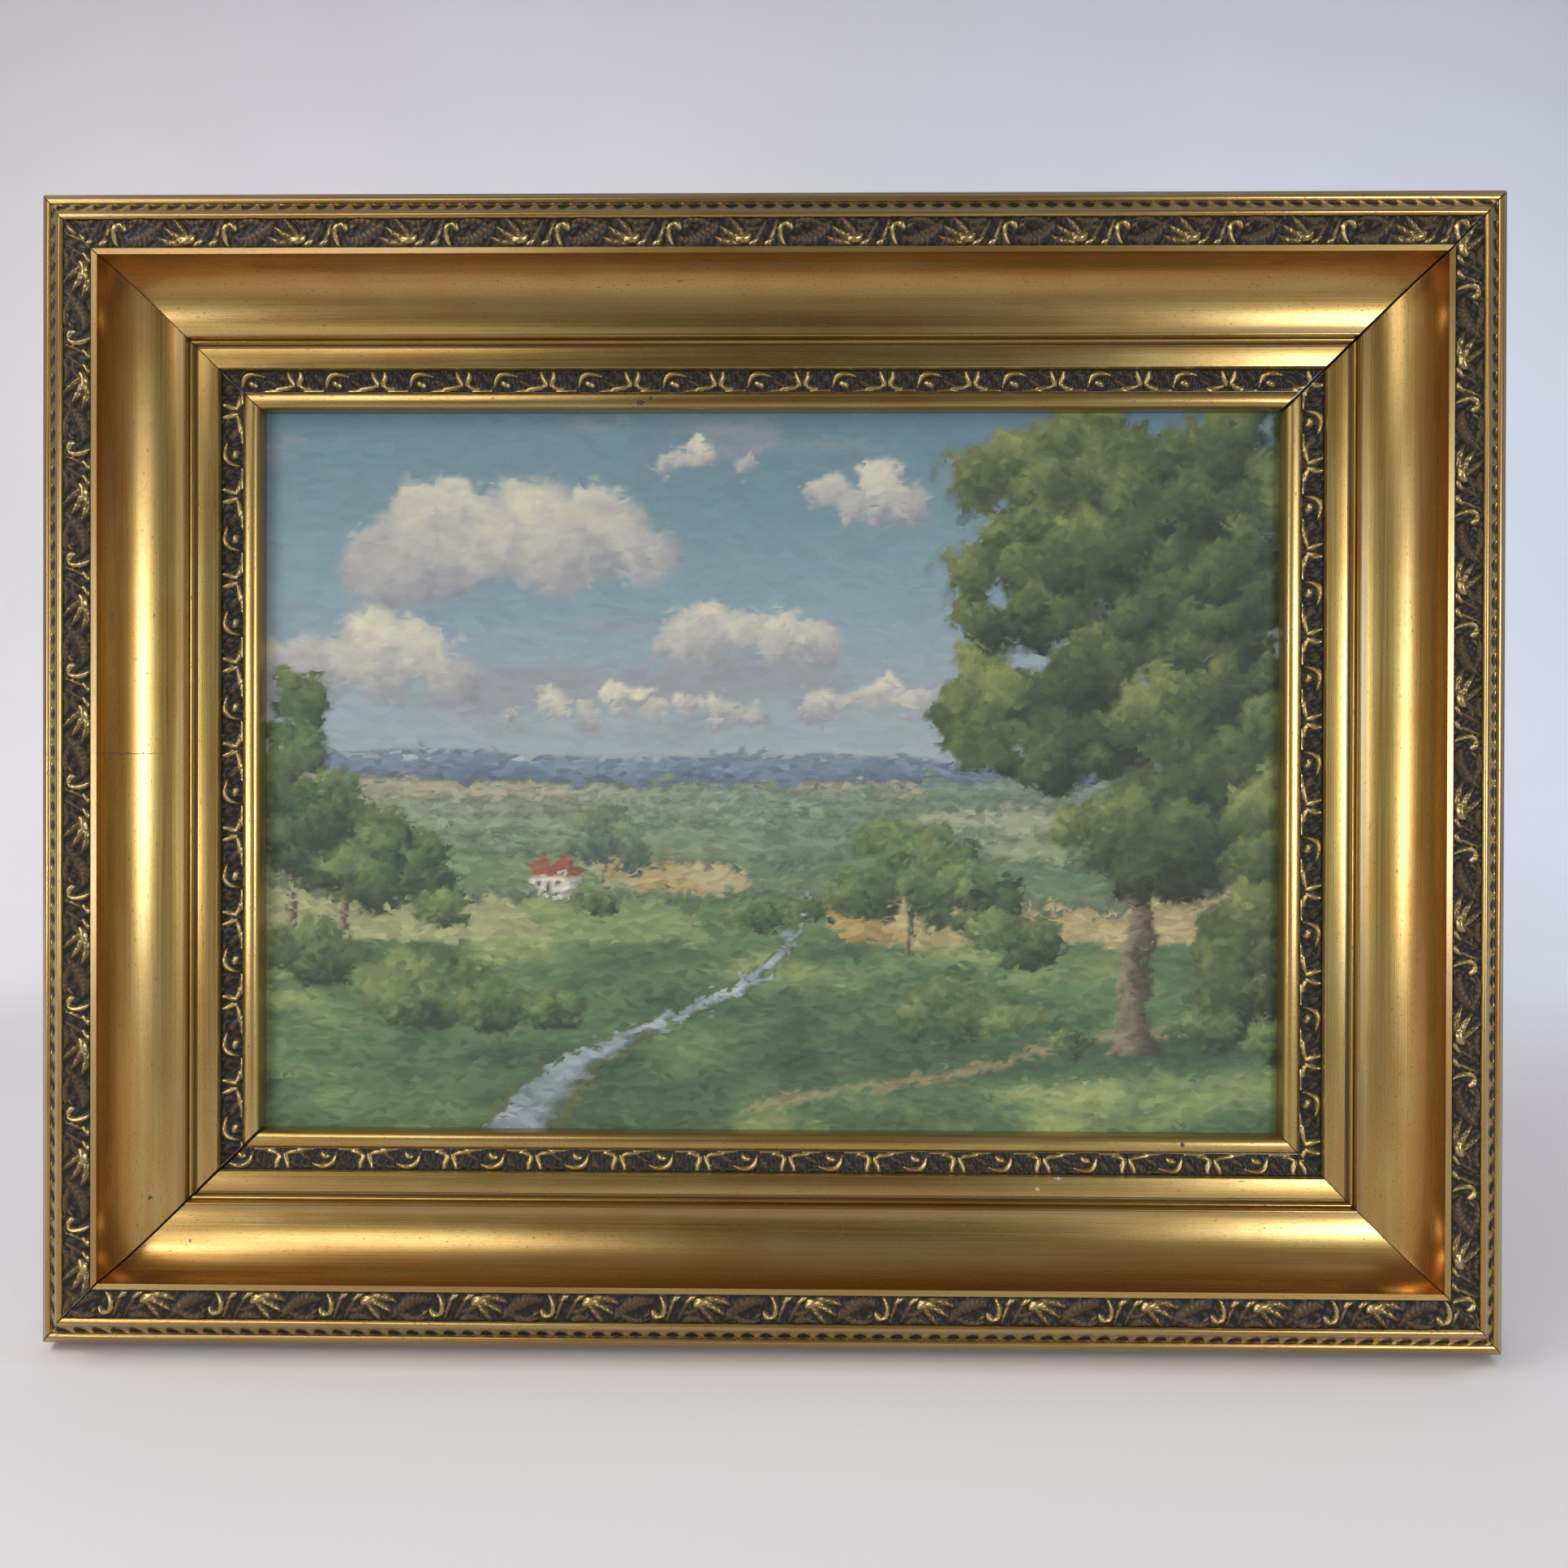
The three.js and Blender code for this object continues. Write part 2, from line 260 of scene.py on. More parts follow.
@dataclass(frozen=True)
class Gilding:
    """Bronze-gold leaf, burnished along the rail, with dust and painted shade in its hollows, a painted
    orange reflection deepening up the cove, and fine dark specks.
    """

    deep: Colour = (0.4, 0.22, 0.045)
    bright: Colour = (0.47, 0.34, 0.105)
    # The dark that dust and painted shade bring to the gold.
    dirt_and_shade_colour: Colour = (0.05, 0.028, 0.014)
    # Orange tint for the painted reflection of the gold in itself.
    bounce_tint: Colour = (1.0, 0.7, 0.42)
    gesso: Colour = pigment(228, 220, 204)
    roughness: float = 0.27
    brushing: float = 0.6
    quarter_turn: float = 0.25
    varnish: float = 0.85
    varnish_roughness: float = 0.2
    varnish_index: float = 1.5
    drop: float = 0.16
    streaks: Colour = (9.0, 2600.0, 1.0)
    patches: Colour = (9.0, 150.0, 1.0)
    scratches: Colour = (420.0, 1400.0, 1.0)
    ragged_edge: Colour = (0.0012, 0.0, 0.0012)
    chips: tuple[Mark, ...] = (
        Mark(-43.0, 125.2, 1.7, 0.9), Mark(-39.6, 126.4, 0.8, 0.8), Mark(140.0, -124.6, 0.9, 0.7),
        Mark(-206.0, -142.5, 0.8, 0.7), Mark(-192.0, -156.5, 0.5, 0.4), Mark(-203.4, -164.0, 0.5, 0.4),
        Mark(-210.0, 6.0, 8.0, 0.16), Mark(157.0, 41.0, 0.7, 1.0),
    )
    specks: tuple[Mark, ...] = (
        Mark(91.0, -138.6, 0.7, 0.6), Mark(103.0, 131.5, 0.9, 0.8), Mark(98.0, -135.2, 1.6, 0.3),
    )

    def material(self) -> bpy.types.Material:
        """The finish as a material that reads the course map, the attribute of dust and painted shade, and
        the attribute of painted reflection.
        """
        material, graph, shader = surface("burnished_gilding")
        course = graph.course()
        solid = graph.solid_place()
        streak = graph.noise(graph.place(course, self.streaks), 1.0, 2.0, 0.65, flat=True)
        broad = graph.noise(graph.place(course, self.patches), 1.0, 3.0, 0.55, flat=True)
        cloud = graph.noise(solid, 38.0, 2.0, 0.6)
        dots = graph.spread(graph.noise(course, 1500.0, 1.0, 0.6, flat=True), 0.7, 0.76)
        scratch = graph.noise(graph.place(course, self.scratches), 1.0, 2.0, flat=True)
        tone = graph.spread(graph.weigh((broad, 0.6), (cloud, 0.4)), 0.26, 0.74)
        gold = graph.mix(tone, self.deep, self.bright)
        gold = graph.mix(graph.spread(streak, 0.5, 0.78, 0.0, 0.08), gold, self.deep)
        # Painted reflection: the gold turns orange where the cove would reflect itself.
        gold = graph.mix(graph.attribute(PAINTED_BOUNCE), gold, self.bounce_tint, "MULTIPLY")
        # Dust and painted shade: darker in the grooves and beds where shade falls, duller on the lip, fillet
        # and outer side; specks, scratches and chips are real marks.
        grime = graph.attribute(DUST_AND_SHADE)
        ragged = graph.math("MULTIPLY", graph.spread(cloud, 0.2, 0.7, 0.75, 1.25), grime)
        marks = graph.math("MULTIPLY", graph.math("MAXIMUM", dots, graph.spread(scratch, 0.71, 0.78)), 0.75)
        dirt_and_shade = graph.math("MAXIMUM", ragged, marks, clamp=True)
        wobble = graph.add("ShaderNodeTexNoise", {"Vector": solid, "Scale": 900.0, "Detail": 0.0})
        round_centre = graph.vector("ADD", solid, (0.0, 0.0, self.drop))
        flat = graph.vector("MULTIPLY_ADD", wobble.outputs["Color"], self.ragged_edge, round_centre)
        for chip in self.chips:
            dirt_and_shade = graph.math("MAXIMUM", dirt_and_shade, chip.cover(graph, flat))
        # Darkens the gold by dust, painted shade and the real marks.
        gold = graph.mix(dirt_and_shade, gold, self.dirt_and_shade_colour)
        for speck in self.specks:
            gold = graph.mix(speck.cover(graph, flat), gold, self.gesso)
        rough = graph.spread(streak, 0.3, 0.75, self.roughness - 0.02, self.roughness + 0.04)
        tangent = graph.add("ShaderNodeTangent", direction_type="UV_MAP", uv_map=COURSE_MAP)
        wave = graph.bump(graph.noise(solid, 55.0, 2.0), 0.0004, 0.14)
        graph.fill(shader, {
            "Base Color": gold,
            "Metallic": graph.blend(dirt_and_shade, 1.0, 0.3),
            "Roughness": graph.blend(dirt_and_shade, rough, 0.6),
            "Anisotropic": self.brushing,
            "Anisotropic Rotation": self.quarter_turn,
            "Tangent": tangent.outputs[0],
            "Coat Weight": self.varnish,
            "Coat IOR": self.varnish_index,
            "Coat Roughness": self.varnish_roughness,
            "Normal": graph.bump(streak, 0.00001, 0.08, wave),
        })
        return material


@dataclass(frozen=True)
class TonedOrnament:
    """Pressed ornament, toned with dark umber and rubbed back to gold on its leaves."""

    ground: Colour = pigment(30, 23, 17)
    glaze: Colour = pigment(78, 60, 38)
    gold: Colour = (0.42, 0.31, 0.13)
    name: str = "toned_ornament"

    def material(self) -> bpy.types.Material:
        """The finish as a material that reads the gilt attribute."""
        material, graph, shader = surface(self.name)
        solid = graph.solid_place()
        fine = graph.noise(solid, 1300.0, 3.0, 0.6)
        cloud = graph.noise(solid, 160.0, 3.0, 0.6)
        rubbed = graph.math("ADD", graph.attribute(GILT), graph.sway(fine, 0.5))
        rubbed = graph.math("ADD", rubbed, graph.sway(cloud, 0.5))
        worn = graph.spread(rubbed, 0.35, 0.95)
        toned = graph.mix(graph.spread(rubbed, 0.05, 0.4), self.ground, self.glaze)
        graph.fill(shader, {
            "Base Color": graph.mix(worn, toned, self.gold),
            "Metallic": graph.spread(rubbed, 0.25, 0.7, 0.0, 0.95),
            "Roughness": graph.spread(rubbed, 0.1, 0.7, 0.42, 0.3),
            "Specular IOR Level": 0.25,
            "Normal": graph.bump(fine, 0.00012, 0.6),
        })
        return material


@dataclass(frozen=True)
class BareWood:
    """Planed softwood, darkened with age, its grain along the rail."""

    light: Colour = pigment(176, 138, 92)
    dark: Colour = pigment(112, 78, 46)

    def material(self) -> bpy.types.Material:
        """The finish as a material that reads the course map."""
        material, graph, shader = surface("bare_softwood")
        course = graph.course()
        warp = graph.noise(graph.place(course, (6.0, 60.0, 1.0)), 1.0, 3.0)
        along = graph.place(course, (3.0, 260.0, 1.0))
        wavy = {"Vector": along, "Scale": 1.0, "Distortion": 6.0, "Detail": 3.0}
        rings = graph.add("ShaderNodeTexWave", wavy, bands_direction="Y")
        fibre = graph.noise(graph.place(course, (30.0, 3200.0, 1.0)), 1.0, 3.0)
        grain = graph.weigh((rings.outputs["Fac"], 0.55), (warp, 0.5))
        wood = graph.mix(graph.spread(grain, 0.25, 0.8), self.light, self.dark)
        wood = graph.mix(graph.spread(fibre, 0.5, 0.8, 0.0, 0.45), wood, self.dark)
        graph.fill(shader, {"Base Color": wood, "Roughness": 0.78, "Normal": graph.bump(fibre, 0.0002, 0.5)})
        return material


@dataclass(frozen=True)
class DullSteel:
    """Old brad steel with a little rust."""

    steel: Colour = (0.28, 0.26, 0.24)
    rust: Colour = (0.16, 0.07, 0.03)

    def material(self) -> bpy.types.Material:
        """The finish as a material."""
        material, graph, shader = surface("dull_steel")
        rusty = graph.spread(graph.noise(graph.solid_place(), 700.0, 4.0, 0.6), 0.46, 0.62)
        graph.fill(shader, {
            "Base Color": graph.mix(rusty, self.steel, self.rust),
            "Metallic": graph.blend(rusty, 0.9, 0.1),
            "Roughness": graph.blend(rusty, 0.4, 0.8),
        })
        return material


# ---------------------------------------------------------------------------------------------
# Meshes
# ---------------------------------------------------------------------------------------------


def make_object(name: str, data: bpy.types.ID) -> bpy.types.Object:
    """A mesh, a light or a camera as a linked object at the origin."""
    thing = bpy.data.objects.new(name, data)
    bpy.context.collection.objects.link(thing)
    return thing


def smooth(mesh: bpy.types.Mesh, crease: float = 32.0) -> None:
    """Shades a mesh smoothly, with edges kept sharp past an angle in degrees."""
    mesh.shade_smooth()
    mesh.set_sharp_from_angle(angle=math.radians(crease))


def mark(mesh: bpy.types.Mesh, name: str, values: np.ndarray | list[float]) -> None:
    """Writes a number for every vertex under a name that a finish reads."""
    mesh.attributes.new(name, "FLOAT", "POINT").data.foreach_set("value", values)


def applied(host: bpy.types.Object, name: str) -> bpy.types.Mesh:
    """The plain mesh that an object's node tree makes, under a name, with the object itself removed."""
    graph = bpy.context.evaluated_depsgraph_get()
    mesh = bpy.data.meshes.new_from_object(host.evaluated_get(graph), depsgraph=graph)
    mesh.name = name
    host.modifiers.clear()
    bpy.data.objects.remove(host)
    return mesh


@contextmanager
def edited(mesh: bpy.types.Mesh) -> Iterator[bmesh.types.BMesh]:
    """A mesh opened for editing, which gets the edits back at the end."""
    bm = bmesh.new()
    bm.from_mesh(mesh)
    yield bm
    bm.to_mesh(mesh)
    bm.free()


def face_outwards(bm: bmesh.types.BMesh) -> None:
    """Turns every face of a closed mesh outwards, which its signed volume proves."""
    bmesh.ops.recalc_face_normals(bm, faces=bm.faces)
    if bm.calc_volume(signed=True) < 0:
        bmesh.ops.reverse_faces(bm, faces=bm.faces)


def own(piece: bpy.types.Object, slot: str, *nodes: str) -> bpy.types.Object:
    """Puts a finished piece on the frame.

    Args:
        piece: the piece.
        slot: not used.
        nodes: the CAD nodes that it stands for.

    Returns:
        The piece.
    """
    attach(piece, BODY)
    if nodes:
        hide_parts(*nodes)
    log.info("%s: %d faces", piece.name, len(piece.data.polygons))
    return piece


# ---------------------------------------------------------------------------------------------
# The moulding
# ---------------------------------------------------------------------------------------------


class Coat(Enum):
    """What covers a stretch of the moulding, as its place in the piece's material slots."""

    GILT = 0
    TONED = 1
    WOOD = 2


@dataclass(frozen=True)
class Stretch:
    """A run of the moulding's section with one coat and one depth of dust and painted shade."""

    points: list[Pair]
    coat: Coat = Coat.GILT
    # How dark the stretch is: painted shade in grooves and recesses, and dust and wear on the lip, flats and
    # outer side.
    grime: float = 0.0


def bulge(start: Pair, pull: Pair, end: Pair, steps: int) -> list[Pair]:
    """A rounded run of section from one point to another, pulled towards a third."""
    run = []
    for i in range(steps + 1):
        t = i / steps
        weights = ((1 - t) ** 2, 2 * t * (1 - t), t * t)
        run.append(tuple(sum(w * p[k] for w, p in zip(weights, (start, pull, end))) for k in range(2)))
    return run


@dataclass(frozen=True)
class Band:
    """A flat part of the section that carries ornament, from its inner to its outer edge, in mm."""

    inner: Pair
    outer: Pair

    @property
    def width(self) -> float:
        """The distance across it."""
        return math.dist(self.inner, self.outer)

    def into_rail(self, local: np.ndarray) -> np.ndarray:
        """Carries places on the band into the rail's own frame.

        Args:
            local: metres along the rail, across the band and out of it.

        Returns:
            The same places with X along the rail, -Y up from its back and Z out from the sight edge.
        """
        run = (np.array(self.outer) - np.array(self.inner)) / self.width
        rise = np.array([-run[1], run[0]])
        section = np.array(self.inner) * MM + local[:, 1:2] * run + local[:, 2:3] * rise
        return np.column_stack([local[:, 0], -section[:, 1], section[:, 0]])


@dataclass(frozen=True)
class Section:
    """The moulding's section: mm out from the sight edge and mm up from the back."""

    width: float = 69.4
    back_width: float = 68.6
    rebate: Pair = (6.3, 10.5)
    fillet: tuple[float, float, float] = (44.0, 46.0, 39.9)
    cove: Pair = (23.5, 22.3)
    leaf_band: Band = Band((46.3, 38.2), (55.5, 38.2))
    scallop_face: Band = Band((58.9, 36.5), (63.9, 30.0))
    vine_band: Band = Band((6.0, 15.8), (12.5, 17.4))
    bed: float = 0.35

    def cove_points(self, steps: int = 26) -> list[Pair]:
        """The quarter ellipse from the bead at the cove's foot up to the fillet."""
        across = self.fillet[0] - self.cove[0]
        rise = self.fillet[2] - self.cove[1]
        turns = [math.pi / 2 * i / steps for i in range(steps + 1)]
        return [(self.cove[0] + across * math.sin(t), self.fillet[2] - rise * math.cos(t)) for t in turns]

    def amber(self, out: np.ndarray) -> np.ndarray:
        """How much painted orange reflection of the gold in itself lies on the gilding: it deepens up the
        steep side of the cove, and lies lightly on everything outside the cove's top.
        """
        rise = np.clip((out - self.cove[0]) / (self.fillet[0] - self.cove[0]), 0, 1)
        return np.where(out < self.fillet[0] + 0.1, step(rise, 0.5, 0.95), 0.15)

    def stretches(self) -> list[Stretch]:
        """The whole outline, from the rebate round the sight edge and over the face to the back."""
        start, stop, top = self.fillet
        vine, leaf, face, bed = self.vine_band, self.leaf_band, self.scallop_face, self.bed
        # Grooves and beds get painted shade through their darkness; the lip, fillet, outer slope and outer
        # side get dust and wear.
        return [
            Stretch([(self.rebate[0], 0), self.rebate, (0, self.rebate[1])], Coat.WOOD),
            Stretch(bulge((0, 11.2), (0, 13.6), (0.25, 14.5), 3), grime=0.12),
            Stretch(bulge((0.3, 14.8), (0.9, 16.7), (2.9, 16.75), 8), grime=0.04),
            Stretch(bulge((3.1, 16.75), (4.9, 16.75), (5.45, 16.1), 6)),
            Stretch([(5.6, 15.75)], grime=0.6),
            Stretch([(5.9, 15.8), (vine.inner[0], vine.inner[1] - bed)], grime=0.8),
            Stretch([(vine.outer[0], vine.outer[1] - bed), (12.6, 17.3)], Coat.TONED),
            Stretch([(12.7, 18.6), (12.9, 19.8)], grime=0.35),
            Stretch(bulge((13.1, 20.0), (16.4, 20.75), (19.2, 20.7), 6)),
            Stretch([(19.45, 20.45), (19.65, 19.95), (20.1, 19.95)], grime=0.6),
            Stretch(bulge((20.3, 20.9), (21.0, 23.1), (21.7, 21.6), 8)),
            Stretch([(21.85, 21.3)], grime=0.6),
            Stretch(bulge((22.0, 21.9), (22.7, 24.6), (23.35, 22.7), 8)),
            Stretch([(23.45, 22.35)], grime=0.45),
            Stretch(self.cove_points()[:2], grime=0.35),
            Stretch(self.cove_points()[2:]),
            Stretch([(start + 0.15, top), (stop - 0.15, top), (stop, top - 0.15)], grime=0.22),
            Stretch([(46.2, 39.2), (leaf.inner[0], leaf.inner[1] - bed)], grime=0.8),
            Stretch([(leaf.outer[0], leaf.outer[1] - bed), (55.6, 38.3)], Coat.TONED),
            Stretch(bulge((55.75, 38.7), (57.0, 40.6), (58.6, 37.5), 8), grime=0.05),
            Stretch([(58.75, 36.7), (face.inner[0], face.inner[1] - bed)], grime=0.6),
            Stretch([(face.outer[0] - bed, face.outer[1] - bed)], Coat.TONED),
            Stretch([(63.95, 30.0)], grime=0.6),
            Stretch(bulge((64.1, 30.4), (65.6, 31.6), (66.9, 28.9), 7), grime=0.06),
            Stretch(bulge((67.1, 28.5), (69.2, 27.4), (self.width, 21.0), 7), grime=0.18),
            Stretch([(self.width, 17.0), (69.1, 9.0), (self.back_width, 0.25)], grime=0.35),
            Stretch([(self.back_width - 0.25, 0.0), (self.rebate[0], 0)], Coat.WOOD),
        ]


@dataclass(frozen=True)
class Rail:
    """One side of the frame: its place round the picture, its length and how its mitres meet."""

    name: str
    turn: int
    half_sight: float
    reach: float
    gaps: tuple[Pair, Pair]
    section: Section

    @property
    def node(self) -> str:
        """The CAD node that it stands for."""
        return f"{self.name}_rail"

    def end(self, side: int, out: np.ndarray | float) -> np.ndarray | float:
        """Where the rail is cut, in metres along it.

        Args:
            side: 0 for its start and 1 for its end.
            out: metres out from the sight edge.

        Returns:
            The cut's distance from the rail's middle, negative at its start.
        """
        sight, outside = (g * MM * math.sqrt(0.5) for g in self.gaps[side])
        slope = 1 + (sight - outside) / (self.section.width * MM)
        reach = self.half_sight - sight + slope * out
        return reach if side else -reach

    def matrix(self, drop: float) -> Matrix:
        """From the rail's own frame to the part's, with the picture's centre below the origin."""
        arm = Matrix.Translation((0, 0, self.reach))
        return Matrix.Translation((0, 0, -drop)) @ Matrix.Rotation(self.turn * math.pi / 2, 4, "Y") @ arm

    def cut(self, mesh: bpy.types.Mesh) -> None:
        """Cuts a mesh in the rail's frame at both mitres, closes the cuts and turns it outwards."""
        with edited(mesh) as bm:
            for side in (0, 1):
                near, far = self.end(side, 0.0), self.end(side, 1.0)
                away = 1 if side else -1
                normal = Vector((away, 0, -abs(far - near))).normalized()
                made = bmesh.ops.bisect_plane(bm, geom=[*bm.verts, *bm.edges, *bm.faces], dist=CUT_REACH,
                                              plane_co=(near, 0, 0), plane_no=normal, clear_outer=True)
                rim = [e for e in made["geom_cut"] if isinstance(e, bmesh.types.BMEdge) and e.is_boundary]
                bmesh.ops.edgeloop_fill(bm, edges=rim)
            bmesh.ops.triangulate(bm, faces=[f for f in bm.faces if len(f.verts) > 4])
            face_outwards(bm)

    def moulding(self, coats: list[bpy.types.Material], drop: float, stations: int = 28) -> bpy.types.Object:
        """The rail's wood and gesso, without its ornament.

        Args:
            coats: a material for each Coat.
            drop: metres from the origin down to the picture's centre.
            stations: lengths that the rail is divided into.

        Returns:
            The piece.
        """
        looks = [stretch for stretch in self.section.stretches() for _ in stretch.points][:-1]
        points = [point for stretch in self.section.stretches() for point in stretch.points][:-1]
        profile = np.array(points) * MM
        count = len(profile)
        out = profile[:, 0]
        starts, ends = self.end(0, out), self.end(1, out)
        shares = np.linspace(0, 1, stations + 1)
        along = starts[None, :] + shares[:, None] * (ends - starts)[None, :]
        places = np.stack(np.broadcast_arrays(along, -profile[:, 1], out), -1)
        mesh = bpy.data.meshes.new(f"{self.name}_moulding")
        quads = []
        for j in range(stations):
            for i in range(count):
                k = (i + 1) % count
                quads.append((j * count + i, (j + 1) * count + i, (j + 1) * count + k, j * count + k))
        caps = [tuple(range(count)), tuple(reversed(range(stations * count, (stations + 1) * count)))]
        mesh.from_pydata(places.reshape(-1, 3).tolist(), [], quads + caps)
        self.chart(mesh, profile, along)
        for face in mesh.polygons:
            following = looks[(face.index % count + 1) % count]
            wooden = face.index >= len(quads) or following is looks[0]
            face.material_index = (Coat.WOOD if wooden else following.coat).value
        # Dust and painted shade for each point of the section, and painted orange reflection deepening up the
        # cove.
        mark(mesh, DUST_AND_SHADE, np.tile([look.grime for look in looks], stations + 1))
        mark(mesh, PAINTED_BOUNCE, np.tile(self.section.amber(profile[:, 0] / MM), stations + 1))
        for coat in coats:
            mesh.materials.append(coat)
        with edited(mesh) as bm:
            bmesh.ops.triangulate(bm, faces=[f for f in bm.faces if len(f.verts) > 4])
            face_outwards(bm)
        mesh.transform(self.matrix(drop))
        smooth(mesh)
        return own(make_object(mesh.name, mesh), "gilt_moulding", self.node)

    def chart(self, mesh: bpy.types.Mesh, profile: np.ndarray, along: np.ndarray) -> None:
        """Maps the moulding: metres along the rail and across its outline.

        Args:
            mesh: the moulding, whose last two faces are its ends.
            profile: the outline's points, in metres.
            along: where each point of the outline lies along the rail, at every station.
        """
        count = len(profile)
        sides = count * (len(along) - 1)
        across = np.concatenate([[0], np.cumsum(np.linalg.norm(np.diff(profile, axis=0), axis=1))])
        closing = across[-1] + float(np.linalg.norm(profile[0] - profile[-1]))
        chart = mesh.uv_layers.new(name=COURSE_MAP)
        for face in mesh.polygons:
            wraps = face.index < sides and face.index % count == count - 1
            for loop in face.loop_indices:
                row, place = divmod(mesh.loops[loop].vertex_index, count)
                if face.index >= sides:
                    chart.uv[loop].vector = (profile[place][1], profile[place][0])
                else:
                    v = closing if wraps and place == 0 else across[place]
                    chart.uv[loop].vector = (along[row][place], v)


# ---------------------------------------------------------------------------------------------
# Ornament that repeats along a rail
# ---------------------------------------------------------------------------------------------


@dataclass(frozen=True)
class Leaf:
    """One leaf, scroll or drop: a curve with its half width and its rise in mm.

    The curve's four points give a distance along the rail in mm and a share of the band's width.
    """

    curve: tuple[Pair, Pair, Pair, Pair]
    half: float
    rise: float
    gilt: float = 1.0
    veins: int = 0
    blunt: float = 0.35

    def relief(self, s: np.ndarray, w: np.ndarray, width: float) -> tuple[np.ndarray, np.ndarray]:
        """How far it stands out at places on the band, and how gold it is there.

        Args:
            s: mm along the rail.
            w: mm across the band.
            width: the band's width in mm.

        Returns:
            The rise in mm, and the gilding from 0 to 1.
        """
        t = np.linspace(0, 1, 48)
        knots = np.array([(x, share * width) for x, share in self.curve])
        weights = np.stack([(1 - t) ** 3, 3 * t * (1 - t) ** 2, 3 * t * t * (1 - t), t**3], 1)
        spine = weights @ knots
        girth = 1.2 * self.half * (self.blunt + (1 - self.blunt) * np.sin(np.pi * t) ** 0.7)
        apart = np.hypot(s[:, None] - spine[:, 0], w[:, None] - spine[:, 1]) / girth
        nearest = apart.argmin(1)
        edge = apart[np.arange(len(s)), nearest]
        at = t[nearest]
        body = 0.6 * np.clip(1 - edge**2, 0, None) ** 0.5 + 0.4 * np.clip(1 - edge, 0, None)
        rise = self.rise * body * (0.72 + 0.28 * np.sin(np.pi * at))
        if self.veins:
            rise *= 1 - 0.26 * np.clip(np.cos(2 * np.pi * (self.veins * at + 0.45 * edge)), 0, None)
        return rise, self.gilt * np.clip(1.5 * rise / self.rise, 0, 1)


@dataclass(frozen=True)
class Course:
    """A band of ornament: what repeats on it, how often, and how finely it is cut."""

    name: str
    band: Band
    pitch: float
    leaves: tuple[Leaf, ...] = ()
    step: float = 0.36
    sunk: float = 0.9

    def tile(self) -> bpy.types.Mesh:
        """One repeat as a mesh in the band's frame, open at its two ends, in metres."""
        columns = round(self.pitch / self.step)
        rows = round(self.band.width / self.step)
        s, w = np.meshgrid(np.linspace(0, self.pitch, columns + 1),
                           np.linspace(0, self.band.width, rows + 1), indexing="ij")
        s, w = s.ravel(), w.ravel()
        turns = 2 * np.pi * s / self.pitch
        stipple = 0.22 + 0.2 * np.sin(7 * turns + 1.1 * w) + 0.14 * np.sin(11 * turns - 0.7 * w)
        rise, gilt = stipple, np.zeros_like(s)
        for leaf in self.leaves:
            for shift in (-self.pitch, 0, self.pitch):
                lift, gold = leaf.relief(s - shift, w, self.band.width)
                over = lift > rise
                gilt = np.where(over, gold, gilt)
                rise = np.maximum(rise, lift)
        places = np.column_stack([s, w, rise])
        floor = [(self.pitch * j / columns, edge, -self.sunk) for j in range(columns + 1)
                 for edge in (0.0, self.band.width)]
        top = rows + 1
        base = (columns + 1) * top
        faces = []
        for j in range(columns):
            a, b = j * top, (j + 1) * top
            p, q = base + 2 * j, base + 2 * (j + 1)
            faces += [(a + i, b + i, b + i + 1, a + i + 1) for i in range(rows)]
            faces += [(a, p, q, b), (a + rows, b + rows, q + 1, p + 1), (p, p + 1, q + 1, q)]
        mesh = bpy.data.meshes.new(f"{self.name}_repeat")
        mesh.from_pydata((np.vstack([places, floor]) * MM).tolist(), [], faces)
        mark(mesh, GILT, np.concatenate([gilt, np.zeros(len(floor))]))
        return mesh


@dataclass(frozen=True)
class ScallopCourse(Course):
    """The outer edge's gold teeth, with a sunk dark half-moon between each two."""

    pit: float = 0.85
    crown: float = 0.4

    def tile(self) -> bpy.types.Mesh:
        """One half-moon, from the middle of a tooth to the middle of the next."""
        pitch, width, low, deep = self.pitch, self.band.width, -self.sunk, -self.pit
        corners = [
            (0, 0, 0), (0, 0.5, 0.2), (0, 0.92, self.crown), (0, 1, 0),
            (0.5, 0, 0), (0.5, 0.14, 0.15), (0.26, 0.3, 0.25), (0.13, 0.58, 0.3), (0.09, 0.92, 0.25),
            (0.5, 0.34, deep), (0.31, 0.46, deep), (0.22, 0.84, deep), (0.5, 0.84, deep),
            (0.5, 0.94, 0), (0.09, 1, 0), (0.5, 1, 0),
            (0, 0, low), (0, 1, low), (0.5, 0, low), (0.5, 1, low),
        ]
        half = [
            (0, 4, 5, 6), (0, 6, 7, 1), (1, 7, 8, 2), (2, 8, 14, 3),
            (5, 9, 10, 6), (6, 10, 7), (7, 10, 11), (7, 11, 8),
            (9, 12, 11, 10), (8, 11, 12, 13), (8, 13, 15, 14),
            (0, 16, 18, 4), (3, 14, 15, 19, 17), (16, 17, 19, 18),
        ]
        count = len(corners)
        places = [(x * pitch, share * width, out) for x, share, out in corners]
        mirrored = [(pitch - x, w, out) for x, w, out in places]
        faces = half + [tuple(count + i for i in reversed(face)) for face in half]
        gold = [0.8, 0.85, 1, 0.8, 0.7, 0.7, 0.8, 0.8, 0.8, -0.5, -0.5, -0.5, -0.5, 0.2, 0.5, 0.4, 0, 0, 0, 0]
        mesh = bpy.data.meshes.new(f"{self.name}_repeat")
        mesh.from_pydata((np.array(places + mirrored) * MM).tolist(), [], faces)
        mark(mesh, GILT, gold * 2)
        return mesh


